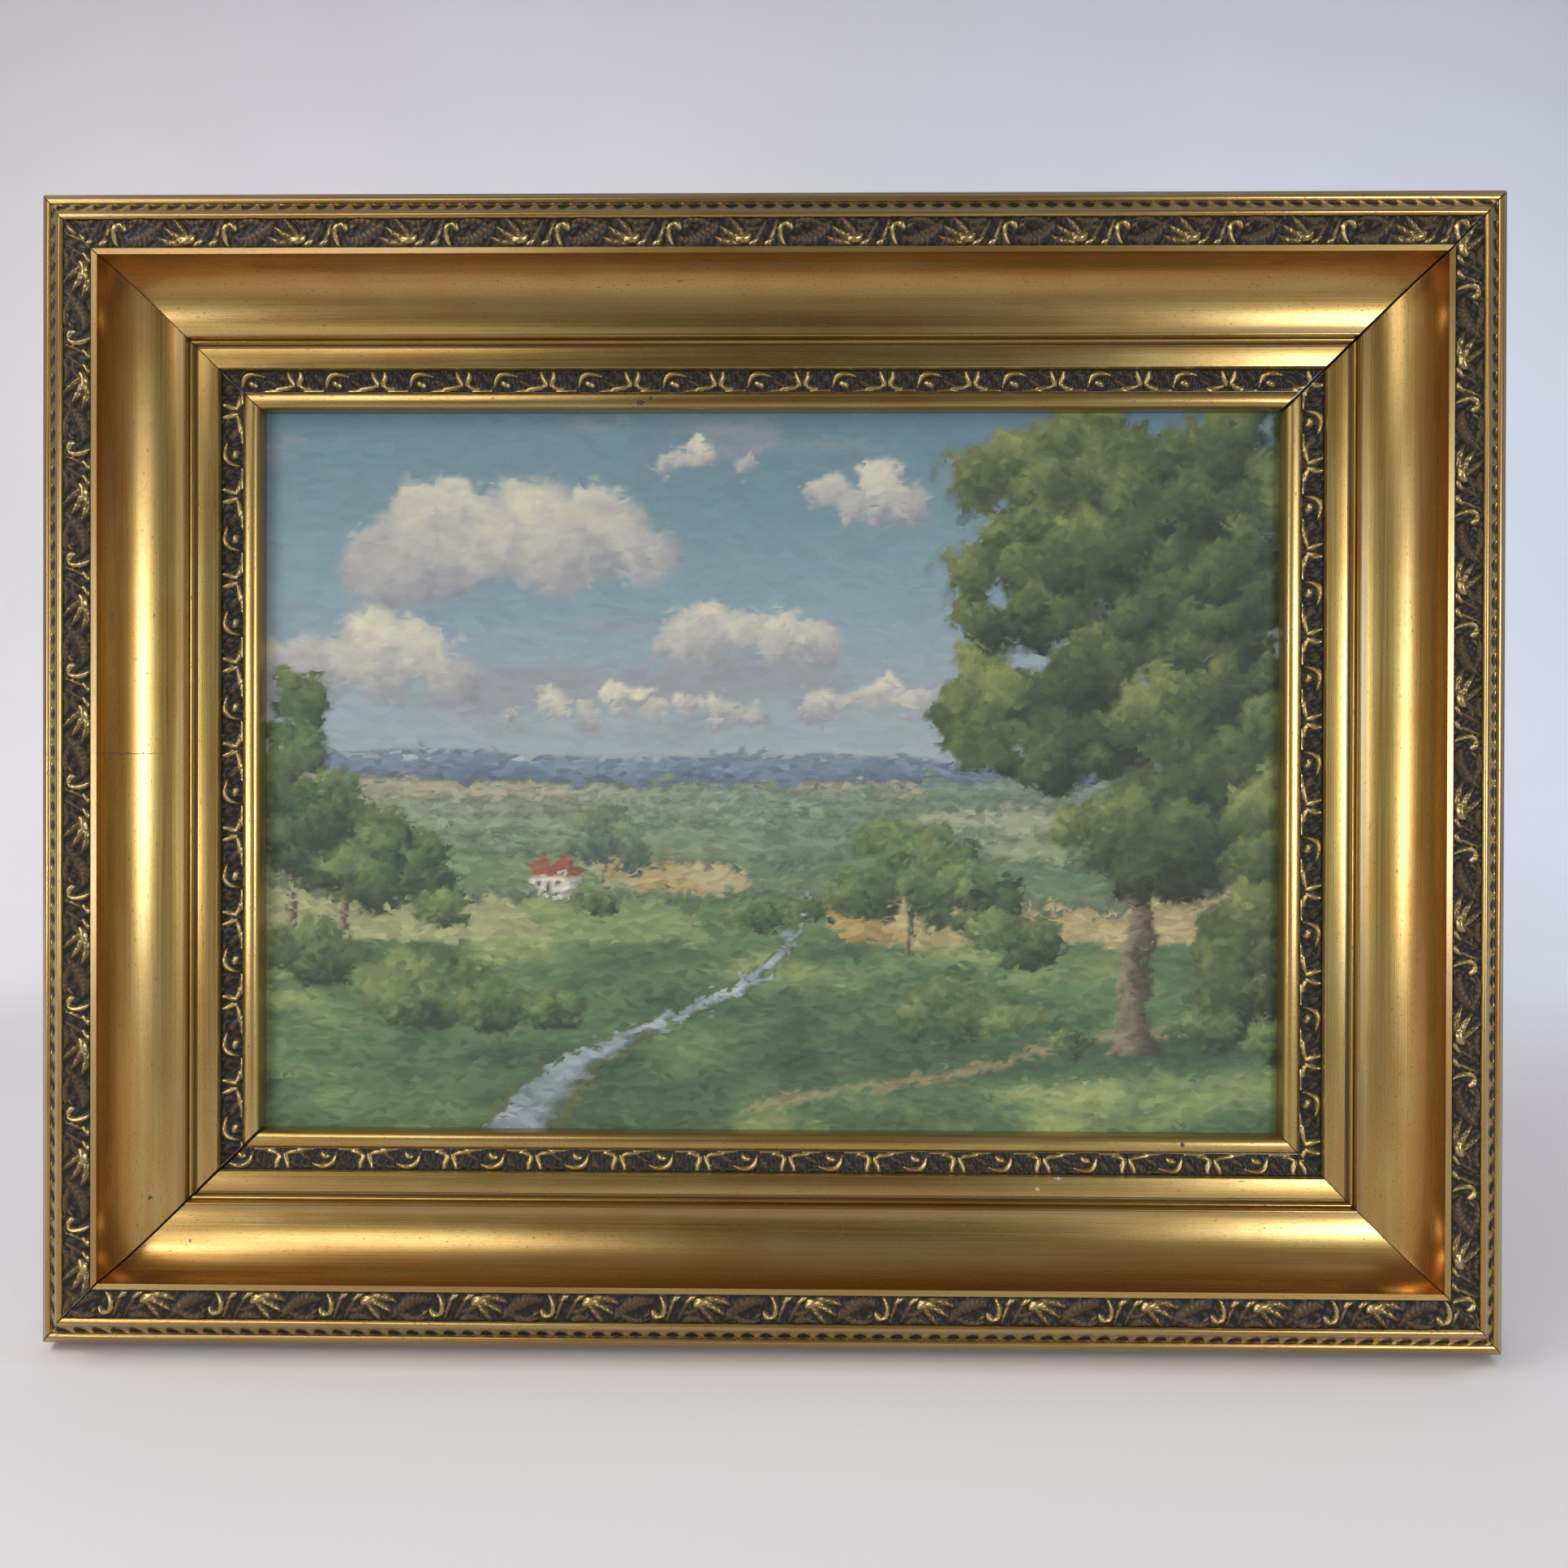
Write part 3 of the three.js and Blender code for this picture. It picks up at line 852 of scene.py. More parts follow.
def node_group(name: str, **inputs: str) -> tuple[bpy.types.NodeTree, dict[str, str]]:
    """A geometry node group.

    Args:
        name: its name.
        inputs: the kind of each input beside the geometry, by the input's name.

    Returns:
        The group, and each input's identifier by its name.
    """
    tree = bpy.data.node_groups.new(name, "GeometryNodeTree")
    face = tree.interface
    face.new_socket("Geometry", in_out="INPUT", socket_type="NodeSocketGeometry")
    made = {key: face.new_socket(key, in_out="INPUT", socket_type=f"NodeSocket{kind}").identifier
            for key, kind in inputs.items()}
    face.new_socket("Geometry", in_out="OUTPUT", socket_type="NodeSocketGeometry")
    return tree, made


class CourseTree:
    """The node group that lays repeats of a tile end to end along a rail and joins them."""

    def __init__(self) -> None:
        """Builds the group."""
        self.tree, self.sockets = node_group("lay_course", Pitch="Float", Count="Int", Start="Float",
                                             Material="Material")
        graph = Graph(self.tree)
        given = graph.add("NodeGroupInput").outputs
        start = graph.add("ShaderNodeCombineXYZ", {"X": given["Start"]})
        stride = graph.add("ShaderNodeCombineXYZ", {"X": given["Pitch"]})
        line = graph.add("GeometryNodeMeshLine", {"Count": given["Count"], "Start Location": start.outputs[0],
                                                  "Offset": stride.outputs[0]})
        laid = graph.add("GeometryNodeInstanceOnPoints",
                         {"Points": line.outputs[0], "Instance": given["Geometry"]})
        real = graph.add("GeometryNodeRealizeInstances", {"Geometry": laid.outputs[0]})
        joined = graph.add("GeometryNodeMergeByDistance", {"Geometry": real.outputs[0], "Distance": HAIR})
        dressed = graph.add("GeometryNodeSetMaterial",
                            {"Geometry": joined.outputs[0], "Material": given["Material"]})
        graph.add("NodeGroupOutput", {"Geometry": dressed.outputs[0]})

    def lay(self, course: Course, rail: Rail, phase: float, material: bpy.types.Material,
            drop: float) -> bpy.types.Object:
        """Lays a course along a rail, cuts it at the mitres and puts it in place.

        Args:
            course: the ornament.
            rail: the rail that it runs along.
            phase: mm that the first repeat is moved along the rail.
            material: its finish.
            drop: metres from the origin down to the picture's centre.

        Returns:
            The piece.
        """
        seed = make_object(f"{rail.name}_{course.name}_seed", course.tile())
        reach = (rail.half_sight + rail.section.width * MM) / MM
        count = math.ceil(2 * reach / course.pitch) + 2
        start = -reach - course.pitch + phase % course.pitch
        modifier = seed.modifiers.new("course", "NODES")
        modifier.node_group = self.tree
        values = {"Pitch": course.pitch * MM, "Count": count, "Start": start * MM, "Material": material}
        for name, value in values.items():
            modifier[self.sockets[name]] = value
        mesh = applied(seed, f"{rail.name}_{course.name}")
        local = np.empty(len(mesh.vertices) * 3, np.float32)
        mesh.vertices.foreach_get("co", local)
        placed = course.band.into_rail(local.reshape(-1, 3).astype(float))
        mesh.vertices.foreach_set("co", placed.ravel())
        with edited(mesh) as bm:
            bmesh.ops.remove_doubles(bm, verts=bm.verts, dist=HAIR)
        rail.cut(mesh)
        mesh.transform(rail.matrix(drop))
        smooth(mesh, 50.0)
        return own(make_object(mesh.name, mesh), "gilt_moulding", rail.node)


LEAF_REPEAT = (
    Leaf(((24.5, 0.3), (28.0, 0.12), (32.0, 0.36), (36.2, 0.86)), 2.0, 1.15, 0.3, veins=8),
    Leaf(((25.5, 0.9), (28.0, 1.0), (31.5, 0.95), (34.4, 0.72)), 1.1, 1.05, 0.34, veins=5),
    Leaf(((7.6, 0.96), (10.0, 0.8), (12.4, 0.84), (14.2, 1.0)), 1.1, 1.0, 0.3, veins=4),
    Leaf(((9.2, 0.5), (10.6, 0.62), (12.4, 0.7), (14.6, 0.66)), 0.9, 0.95, 0.3, veins=4),
    Leaf(((8.8, 0.3), (5.8, 0.08), (2.6, 0.14), (-0.8, 0.34)), 1.3, 1.4, 0.6, veins=3),
    Leaf(((8.6, 0.34), (6.4, 0.32), (3.6, 0.46), (1.0, 0.7)), 1.1, 1.45, 0.66, veins=3),
    Leaf(((8.8, 0.4), (7.6, 0.54), (6.0, 0.74), (4.2, 0.98)), 1.0, 1.4, 0.55, veins=3),
    Leaf(((6.2, 0.3), (7.6, 0.24), (9.0, 0.26), (10.2, 0.4)), 1.5, 1.6, blunt=0.5),
    Leaf(((12.4, 0.3), (13.4, 0.42), (14.6, 0.62), (15.8, 0.94)), 0.6, 0.95, 0.35),
    Leaf(((17.0, 0.3), (17.8, 0.42), (18.6, 0.6), (19.3, 0.92)), 0.65, 1.1, 0.55),
    Leaf(((10.5, 0.1), (11.2, 0.12), (12.2, 0.2), (12.9, 0.28)), 0.85, 1.2, 0.85, blunt=0.6),
    Leaf(((15.5, 0.1), (16.1, 0.12), (17.0, 0.2), (17.6, 0.28)), 0.85, 1.2, 0.85, blunt=0.6),
    Leaf(((21.7, 0.06), (19.6, 0.34), (19.6, 0.84), (22.2, 0.82)), 0.9, 1.6),
    Leaf(((22.0, 0.82), (22.8, 0.82), (23.5, 0.74), (23.9, 0.64)), 0.95, 1.5, blunt=0.7),
    Leaf(((25.3, 0.68), (25.7, 0.72), (26.1, 0.76), (26.5, 0.8)), 0.6, 1.0, 0.5, blunt=0.8),
)
VINE_REPEAT = (
    Leaf(((26.4, 0.84), (27.2, 0.7), (27.9, 0.55), (28.3, 0.4)), 1.0, 0.75, 0.22, veins=2),
    Leaf(((10.0, 0.52), (11.2, 0.42), (12.4, 0.3), (13.4, 0.24)), 0.9, 0.8, 0.3, veins=2),
    Leaf(((14.4, 0.88), (15.2, 0.76), (15.8, 0.62), (16.0, 0.48)), 1.0, 0.8, 0.22, veins=2),
    Leaf(((8.6, 0.86), (10.0, 0.92), (11.4, 0.9), (12.6, 0.8)), 0.7, 0.7, 0.2),
    Leaf(((8.0, 0.02), (10.5, 0.0), (13.0, 0.0), (15.0, 0.04)), 0.6, 0.85, 0.9),
    Leaf(((22.0, 0.02), (24.0, 0.0), (27.0, 0.0), (29.5, 0.03)), 0.6, 0.85, 0.9),
    Leaf(((12.4, 0.12), (14.4, 0.12), (16.4, 0.16), (18.4, 0.26)), 0.85, 1.0, 0.75),
    Leaf(((20.4, 0.34), (21.6, 0.2), (22.6, 0.12), (24.6, 0.14)), 0.75, 1.1, 0.9),
    Leaf(((1.3, 0.18), (1.5, 0.8), (4.0, 1.04), (8.9, 0.72)), 0.92, 1.35),
    Leaf(((4.0, 0.36), (4.6, 0.4), (5.2, 0.36), (5.9, 0.26)), 0.95, 1.15, 0.85, blunt=0.8),
    Leaf(((17.3, 0.93), (17.5, 0.72), (18.1, 0.5), (18.9, 0.28)), 0.9, 1.35, blunt=0.6),
    Leaf(((21.5, 0.92), (21.4, 0.7), (21.0, 0.5), (20.4, 0.3)), 0.95, 1.35, blunt=0.6),
)


# ---------------------------------------------------------------------------------------------
# The picture
# ---------------------------------------------------------------------------------------------


class Drift:
    """Smooth random variation over the picture, from a table of random numbers."""

    cells: int = 256
    origin: float = 500.0
    shift: Pair = (17.3, 41.7)
    fade: float = 0.55
    gain: float = 1.5

    def __init__(self, seed: int) -> None:
        """Fills the table."""
        self.table = np.random.default_rng(seed).random((self.cells, self.cells)) * 2 - 1

    def __call__(self, x: np.ndarray, z: np.ndarray, size: float, octaves: int = 4,
                 stretch: float = 1.0) -> np.ndarray:
        """The variation, from about -1 to 1.

        Args:
            x, z: mm.
            size: the size of its largest patches in mm.
            octaves: how many finer copies are laid over it.
            stretch: how much longer its patches are along x.

        Returns:
            One value for each place.
        """
        total, share, norm = np.zeros_like(x), 1.0, 0.0
        for octave in range(octaves):
            u = x / (size * stretch) + self.shift[0] * octave + self.origin
            v = z / size + self.shift[1] * octave + self.origin
            i, j = np.floor(u).astype(int), np.floor(v).astype(int)
            a, b = u - i, v - j
            a, b = a * a * (3 - 2 * a), b * b * (3 - 2 * b)
            corner = [self.table[(i + p) % self.cells, (j + q) % self.cells] for p in (0, 1) for q in (0, 1)]
            low = corner[0] * (1 - a) + corner[2] * a
            high = corner[1] * (1 - a) + corner[3] * a
            total += share * (low * (1 - b) + high * b)
            norm += share
            share *= self.fade
            size *= 0.5
        return total / norm * self.gain


@dataclass(frozen=True)
class Mixture:
    """A dark, a middle and a light paint for one motif."""

    dark: Colour
    middle: Colour
    light: Colour

    def at(self, lit: np.ndarray) -> np.ndarray:
        """The colour at each degree of light, from 0 to 1."""
        lit = np.clip(lit, 0, 1)[:, None]
        lower = np.array(self.dark) * (1 - lit * 2) + np.array(self.middle) * lit * 2
        upper = np.array(self.middle) * (2 - lit * 2) + np.array(self.light) * (lit * 2 - 1)
        return np.where(lit < 0.5, lower, upper)


class Canvas:
    """Places on the picture, and the wet paint on them."""

    def __init__(self, x: np.ndarray, z: np.ndarray, seed: int) -> None:
        """Starts with bare places, in mm from the picture's centre."""
        self.x, self.z = x, z
        self.colour = np.zeros((len(x), 3))
        self.leafy = np.zeros_like(x)
        self.airy = np.zeros_like(x)
        self.drift = Drift(seed)

    def lay(self, share: np.ndarray, colour: np.ndarray | Colour, leafy: float | None = None,
            within: np.ndarray | None = None) -> None:
        """Lays a colour over the paint.

        Args:
            share: how well it covers each place, from 0 to 1.
            colour: one colour, or one for each place.
            leafy: how much of the covered part is dabbed as leaves, where that changes.
            within: the places that share and colour are given for, or all of them.
        """
        at = slice(None) if within is None else within
        cover = np.clip(share, 0, 1)
        self.colour[at] = self.colour[at] * (1 - cover[:, None]) + np.asarray(colour) * cover[:, None]
        self.airy[at] *= 1 - cover
        if leafy is not None:
            self.leafy[at] = self.leafy[at] * (1 - cover) + leafy * cover

    def near(self, x: float, z: float, wide: float, high: float) -> np.ndarray:
        """The places within a box round a point."""
        return np.nonzero((np.abs(self.x - x) < wide) & (np.abs(self.z - z) < high))[0]


@dataclass(frozen=True)
class Clump:
    """A rounded mass of leaves or cloud, lit from the upper left."""

    x: float
    z: float
    wide: float
    high: float
    lit: float

    def onto(self, canvas: Canvas, mixture: Mixture, ragged: float, soft: float, leafy: float) -> None:
        """Paints it.

        Args:
            canvas: what it is painted on.
            mixture: its paints.
            ragged: how far its edge wanders, as a share of its size.
            soft: how softly its edge ends.
            leafy: how much it is dabbed as leaves.
        """
        at = canvas.near(self.x, self.z, self.wide * 1.6, self.high * 1.6)
        u, v = (canvas.x[at] - self.x) / self.wide, (canvas.z[at] - self.z) / self.high
        wander = canvas.drift(canvas.x[at] + self.x, canvas.z[at] - self.z, self.wide * 0.7, 4)
        reach = np.hypot(u, v) + ragged * wander
        light = self.lit + 0.34 * (0.75 * v - 0.5 * u) + 0.22 * wander
        canvas.lay(1 - step(reach, 1 - soft, 1 + soft * 0.3), mixture.at(light), leafy, at)


@dataclass(frozen=True)
class Tree:
    """A tree: the ovals that its crown fills, its trunk, and its paints."""

    crown: tuple[tuple[float, float, float, float], ...]
    trunk: tuple[Pair, Pair]
    girth: float
    clumps: int
    clump: Pair
    leaves: Mixture
    seed: int
    bark: Mixture = Mixture(pigment(52, 48, 36), pigment(96, 86, 64), pigment(150, 138, 108))

    def onto(self, canvas: Canvas) -> None:
        """Paints the trunk, and then the crown's clumps from back to front."""
        (x0, z0), (x1, z1) = self.trunk
        t = np.clip((canvas.z - z0) / (z1 - z0), 0, 1)
        middle = x0 + (x1 - x0) * t + canvas.drift(canvas.x * 0, canvas.z, 14, 2) * self.girth * 0.3
        half = self.girth * (1 - 0.5 * t) * (1 + 0.7 * step(-t, -0.08, 0))
        side = (canvas.x - middle) / half
        upright = step(canvas.z, z0 - 1, z0 + 0.6) * (1 - step(canvas.z, z1 - 3, z1))
        canvas.lay((1 - step(np.abs(side), 0.8, 1.1)) * upright, self.bark.at(0.55 - 0.45 * side), 0.3)
        rng = np.random.default_rng(self.seed)
        sizes = np.array([wide * high for _, _, wide, high in self.crown])
        for i in range(self.clumps):
            x, z, wide, high = self.crown[rng.choice(len(self.crown), p=sizes / sizes.sum())]
            turn, out = rng.uniform(0, 2 * math.pi), math.sqrt(rng.uniform(0, 1))
            u, v = out * math.cos(turn), out * math.sin(turn)
            reach = rng.uniform(*self.clump)
            depth = i / self.clumps
            lit = 0.3 + 0.24 * v - 0.16 * u + 0.16 * depth + rng.uniform(-0.14, 0.14)
            clump = Clump(x + u * wide, z + v * high, reach * 1.15, reach, lit)
            clump.onto(canvas, self.leaves, 0.4, 0.3, 1.0)


@dataclass(frozen=True)
class Cloud:
    """A heap of cloud on a flat base: where its base is, its size in mm, and its paints."""

    x: float
    base: float
    wide: float
    high: float
    seed: int
    puffs: int = 26
    paints: Mixture = Mixture(pigment(138, 140, 146), pigment(182, 178, 168), pigment(226, 217, 180))

    def onto(self, canvas: Canvas) -> None:
        """Paints it from its top down."""
        rng = np.random.default_rng(self.seed)
        spots = []
        for _ in range(self.puffs):
            u = rng.uniform(-1, 1)
            v = rng.uniform(0, 1) * (1 - u * u) ** 0.7
            spots.append((u, v, rng.uniform(0.16, 0.34)))
        for u, v, size in sorted(spots, key=lambda spot: -spot[1]):
            x, z = self.x + u * self.wide / 2, self.base + v * self.high
            reach = size * min(self.wide * 0.5, self.high * 1.4)
            Clump(x, z, reach * 1.2, reach, 0.3 + 0.5 * v).onto(canvas, self.paints, 0.3, 0.5, 0.0)


@dataclass(frozen=True)
class Landscape:
    """A made-up river valley: sky, clouds, hills, fields, a stream, a cottage and trees, in mm."""

    horizon: float = -4.0
    sky_height: float = 130.0
    ranges: tuple[tuple[float, float, float], ...] = ((7.0, 7.0, 0.45), (3.0, 4.0, 0.15))
    first_field: float = 2.2
    field_growth: float = 1.42
    fields_end: float = -58.0
    haze_depth: float = 34.0
    cottage: Pair = (-82.0, -42.0)
    bank: float = -88.0
    sky: Mixture = Mixture(pigment(170, 176, 174), pigment(130, 156, 163), pigment(90, 122, 136))
    hills: Mixture = Mixture(pigment(92, 108, 128), pigment(118, 134, 148), pigment(146, 154, 150))
    grass: Mixture = Mixture(pigment(54, 78, 56), pigment(92, 118, 76), pigment(152, 162, 96))
    plots: tuple[Colour, ...] = (
        pigment(128, 144, 92), pigment(172, 146, 88), pigment(112, 134, 84), pigment(156, 158, 110),
        pigment(142, 152, 98), pigment(178, 160, 112), pigment(98, 122, 78),
    )
    water: Mixture = Mixture(pigment(78, 92, 72), pigment(138, 152, 154), pigment(186, 192, 188))
    oak_leaves: Mixture = Mixture(pigment(38, 48, 32), pigment(78, 94, 52), pigment(138, 144, 78))
    hedge_leaves: Mixture = Mixture(pigment(48, 62, 44), pigment(88, 108, 64), pigment(140, 150, 88))
    far_leaves: Mixture = Mixture(pigment(70, 88, 78), pigment(100, 118, 88), pigment(136, 146, 104))
    veils: tuple[tuple[int, int, int], ...] = ((30, 9, 0), (52, 7, 90), (14, 6, 200), (112, 9, 330))
    clouds: tuple[Cloud, ...] = (
        Cloud(-86, 66, 92, 34, 11, 34), Cloud(-8, 40, 58, 15, 12), Cloud(-140, 30, 66, 20, 13),
        Cloud(30, 88, 40, 15, 14, 18), Cloud(-48, 18, 90, 9, 15, 30), Cloud(40, 20, 56, 10, 16),
        Cloud(-20, 104, 34, 8, 17, 12),
    )
    bushes: tuple[tuple[int, int, int], ...] = (
        (-112, -48, 9), (-60, -45, 7), (-4, -50, 8), (84, -58, 14), (-158, -62, 16), (14, -47, 6),
        (-120, -76, 20), (-92, -80, 13), (-74, -82, 9), (62, -84, 18), (86, -88, 12),
    )

    def paint(self, x: np.ndarray, z: np.ndarray, seed: int = 5) -> Canvas:
        """The whole picture.

        Args:
            x, z: places in mm from its centre.
            seed: what its random variation is drawn from.

        Returns:
            The painted places.
        """
        canvas = Canvas(x, z, seed)
        self.paint_sky(canvas)
        self.paint_distance(canvas)
        self.paint_stream(canvas)
        self.paint_middle(canvas)
        self.paint_bank(canvas)
        self.paint_oak(canvas)
        return canvas

    def paint_sky(self, canvas: Canvas) -> None:
        """The sky, its veils and its heaps of cloud."""
        x, z = canvas.x, canvas.z
        up = (z - self.horizon) / self.sky_height
        canvas.lay(np.ones_like(x), self.sky.at(0.06 + 0.9 * up + 0.05 * canvas.drift(x, z, 40, 3, 2.5)))
        for level, depth, seed in self.veils:
            veil = canvas.drift(x + seed, z * 2.2, 34, 4, 2.4) + 0.25
            shape = np.exp(-(((z - level - 3 * canvas.drift(x, z * 0, 60, 2)) / depth) ** 2))
            canvas.lay(step(veil * shape, 0.12, 0.6) * 0.75, pigment(150, 148, 152))
        for cloud in self.clouds:
            cloud.onto(canvas)
        canvas.airy[:] = 1.0
        canvas.leafy[:] = 0.0

    def paint_distance(self, canvas: Canvas) -> None:
        """Two ranges of hills, the fields before them and their hedges."""
        x, z = canvas.x, canvas.z
        for height, swing, lit in self.ranges:
            crest = self.horizon + height
            top = crest + swing * canvas.drift(x + crest * 30, z * 0, 120, 3) - 0.012 * x
            canvas.lay(step(top - z, -0.4, 0.8), self.hills.at(lit + 0.2 * canvas.drift(x, z * 3, 16, 3)))
        rng = np.random.default_rng(23)
        level = self.horizon
        deep = self.first_field
        while level > self.fields_end:
            tilt = rng.uniform(-0.03, 0.03)
            edge = level + tilt * x + 0.25 * deep * canvas.drift(x + level * 9, z * 0, 50, 3)
            cover = step(edge - z, -0.5, 0.5)
            corners = np.sort(rng.uniform(-180, 180, 5))
            plot = np.searchsorted(corners, x + 1.3 * (z - level))
            colours = np.array(self.plots)[rng.permutation(len(self.plots))[:6]]
            haze = np.clip(1 - (self.horizon - level) / self.haze_depth, 0, 1) * 0.5
            tone = colours[plot] * (1 + 0.1 * canvas.drift(x, z * 4, 12, 3))[:, None]
            canvas.lay(cover, tone * (1 - haze) + np.array(pigment(146, 156, 150)) * haze)
            bush = 0.35 + 0.5 * deep * 0.35 * (0.6 + canvas.drift(x * 1.7 + level * 31, z * 0, 5, 3))
            hedge = (1 - step(np.abs(edge - z + 0.2), bush * 0.6, bush + 0.5)) * step(bush, 0.25, 0.6)
            lit = 0.4 + 0.5 * (z - edge) / (bush + 0.5)
            canvas.lay(hedge * (0.9 - haze * 0.7), self.far_leaves.at(lit), 0.6)
            level -= deep
            deep *= self.field_growth
        light = 0.58 + 0.4 * canvas.drift(x, z * 3, 30, 5) - 0.25 * step(-z, 66, 90)
        canvas.lay(step(self.fields_end - z, -1, 1.5), self.grass.at(light))

    def paint_stream(self, canvas: Canvas) -> None:
        """The stream that winds towards the viewer, and its banks."""
        x, z = canvas.x, canvas.z
        deep = np.clip((-40 - z) / 88, 0, 1.1)
        middle = 14 - 34 * deep - 92 * deep**2 + 20 * deep * np.sin(7.5 * deep)
        half = 0.7 + 13 * deep**1.5
        off = (x - middle) / half + 0.1 * canvas.drift(x, z * 3, 9, 3)
        present = step(-z, 40, 42)
        canvas.lay((1 - step(np.abs(off), 1.05, 1.4)) * present, pigment(96, 104, 60), 0.3)
        glint = 0.62 + 0.3 * canvas.drift(x, z * 6, 20, 3) - 0.5 * step(off, 0.1, 0.9)
        canvas.lay((1 - step(np.abs(off), 0.86, 1.0)) * present, self.water.at(glint), 0.0)

    def paint_middle(self, canvas: Canvas) -> None:
        """The cottage, the trees round it and those along the stream."""
        round_trees = (
            Tree(((-150, -22, 22, 20), (-132, -32, 20, 14)), ((-146, -58), (-146, -30)), 1.6, 60, (4.0, 8.0),
                 self.hedge_leaves, 31),
            Tree(((-166, 6, 11, 34), (-158, -14, 12, 20)), ((-164, -60), (-164, -20)), 1.5, 46, (4.0, 7.5),
                 self.hedge_leaves, 32),
            Tree(((-58, -22, 10, 9), (-46, -26, 8, 6)), ((-56, -40), (-56, -28)), 0.9, 26, (2.4, 4.6),
                 self.far_leaves, 33),
            Tree(((48, -34, 20, 15), (66, -42, 16, 12), (32, -42, 10, 8)), ((48, -62), (48, -40)), 1.4, 60,
                 (3.2, 6.6), self.hedge_leaves, 34),
        )
        for tree in round_trees[:3]:
            tree.onto(canvas)
        self.paint_cottage(canvas)
        round_trees[3].onto(canvas)
        for seed, (x, z, wide) in enumerate(self.bushes, 41):
            bush = Tree(((x, z, wide, wide * 0.5),), ((x, z - wide * 0.5), (x, z)), 0.5, 18,
                        (wide * 0.24, wide * 0.44), self.hedge_leaves, seed)
            bush.onto(canvas)

    def paint_cottage(self, canvas: Canvas) -> None:
        """A plain cottage with a russet roof, measured in mm from its lower left corner."""
        u, v = canvas.x - self.cottage[0], canvas.z - self.cottage[1]

        def block(left: float, right: float, low: float, high: float, lean: float = 0.0) -> np.ndarray:
            """How well each place lies within a block, whose sides lean to the right by a share."""
            shift = lean * (v - low)
            inside = np.minimum.reduce([u - left - shift, right + shift - u, v - low, high - v])
            return step(inside, -0.5, 0.5)

        front, gable, opening = pigment(206, 200, 178), pigment(160, 156, 142), pigment(70, 66, 58)
        roof, far_roof, chimney = pigment(148, 84, 56), pigment(116, 66, 48), pigment(130, 88, 66)
        for paint, sides in (
            (front, (0, 17, 0, 6.5)),
            (gable, (12, 17, 0, 6.5)),
            (roof, (-1, 13, 6, 11, 0.35)),
            (far_roof, (12.6, 18, 6, 9.5, -0.2)),
            (chimney, (4, 6.2, 10, 13.6)),
            (opening, (2, 3.6, 2.6, 4.6)),
            (opening, (8.6, 10.2, 2.6, 4.6)),
            (opening, (5.4, 7.0, 0, 4.0)),
        ):
            canvas.lay(block(*sides), paint, 0.0)

    def paint_bank(self, canvas: Canvas) -> None:
        """The near meadow: sunlit grass, the oak's shadow across it and a worn path."""
        x, z = canvas.x, canvas.z
        top = self.bank + 0.1 * (x - 60) - 0.0011 * (x - 130) ** 2 + 1.6 * canvas.drift(x, z * 0, 26, 4)
        blade = 1.3 * canvas.drift(x * 4, z * 0.6, 4, 3)
        cover = step(top + blade - z, -0.6, 0.6)
        swell = canvas.drift(x, z * 3.2, 34, 5)
        light = 0.56 + 0.5 * swell - 0.2 * step(z, -112, -92) + 0.12 * canvas.drift(x, z * 2, 9, 3)
        shade = np.exp(-((((x - 96) / 84) ** 2 + ((z + 103 - 0.05 * x) / 7.5) ** 2) ** 2))
        light = light * (1 - 0.85 * shade) + 0.12 * shade
        canvas.lay(cover, self.grass.at(light), 0.25)
        path = np.abs(z + 112 - 0.16 * x + 4 * canvas.drift(x, z * 0, 60, 2))
        canvas.lay((1 - step(path, 0.9, 2.4)) * cover * step(x, -60, -10) * 0.55, pigment(168, 150, 104), 0.0)

    def paint_oak(self, canvas: Canvas) -> None:
        """The great tree on the right, in front of everything."""
        crown = ((130, 60, 44, 44), (96, 22, 30, 24), (152, 8, 34, 34), (112, 96, 44, 28), (164, 84, 24, 44),
                 (84, 60, 18, 22), (128, -22, 30, 16))
        Tree(crown, ((124, -96), (128, 20)), 5.4, 330, (5.0, 11.5), self.oak_leaves, 61).onto(canvas)
        Tree(((164, -60, 16, 26), (176, -30, 14, 30)), ((170, -92), (170, -60)), 2.0, 50, (5.0, 10.0),
             self.oak_leaves, 62).onto(canvas)
        for x, z, wide in ((150, -88, 12), (176, -90, 14), (104, -92, 7)):
            Tree(((x, z, wide, wide * 0.45),), ((x, z - 5), (x, z)), 0.5, 16, (wide * 0.2, wide * 0.4),
                 self.hedge_leaves, 70 + wide).onto(canvas)


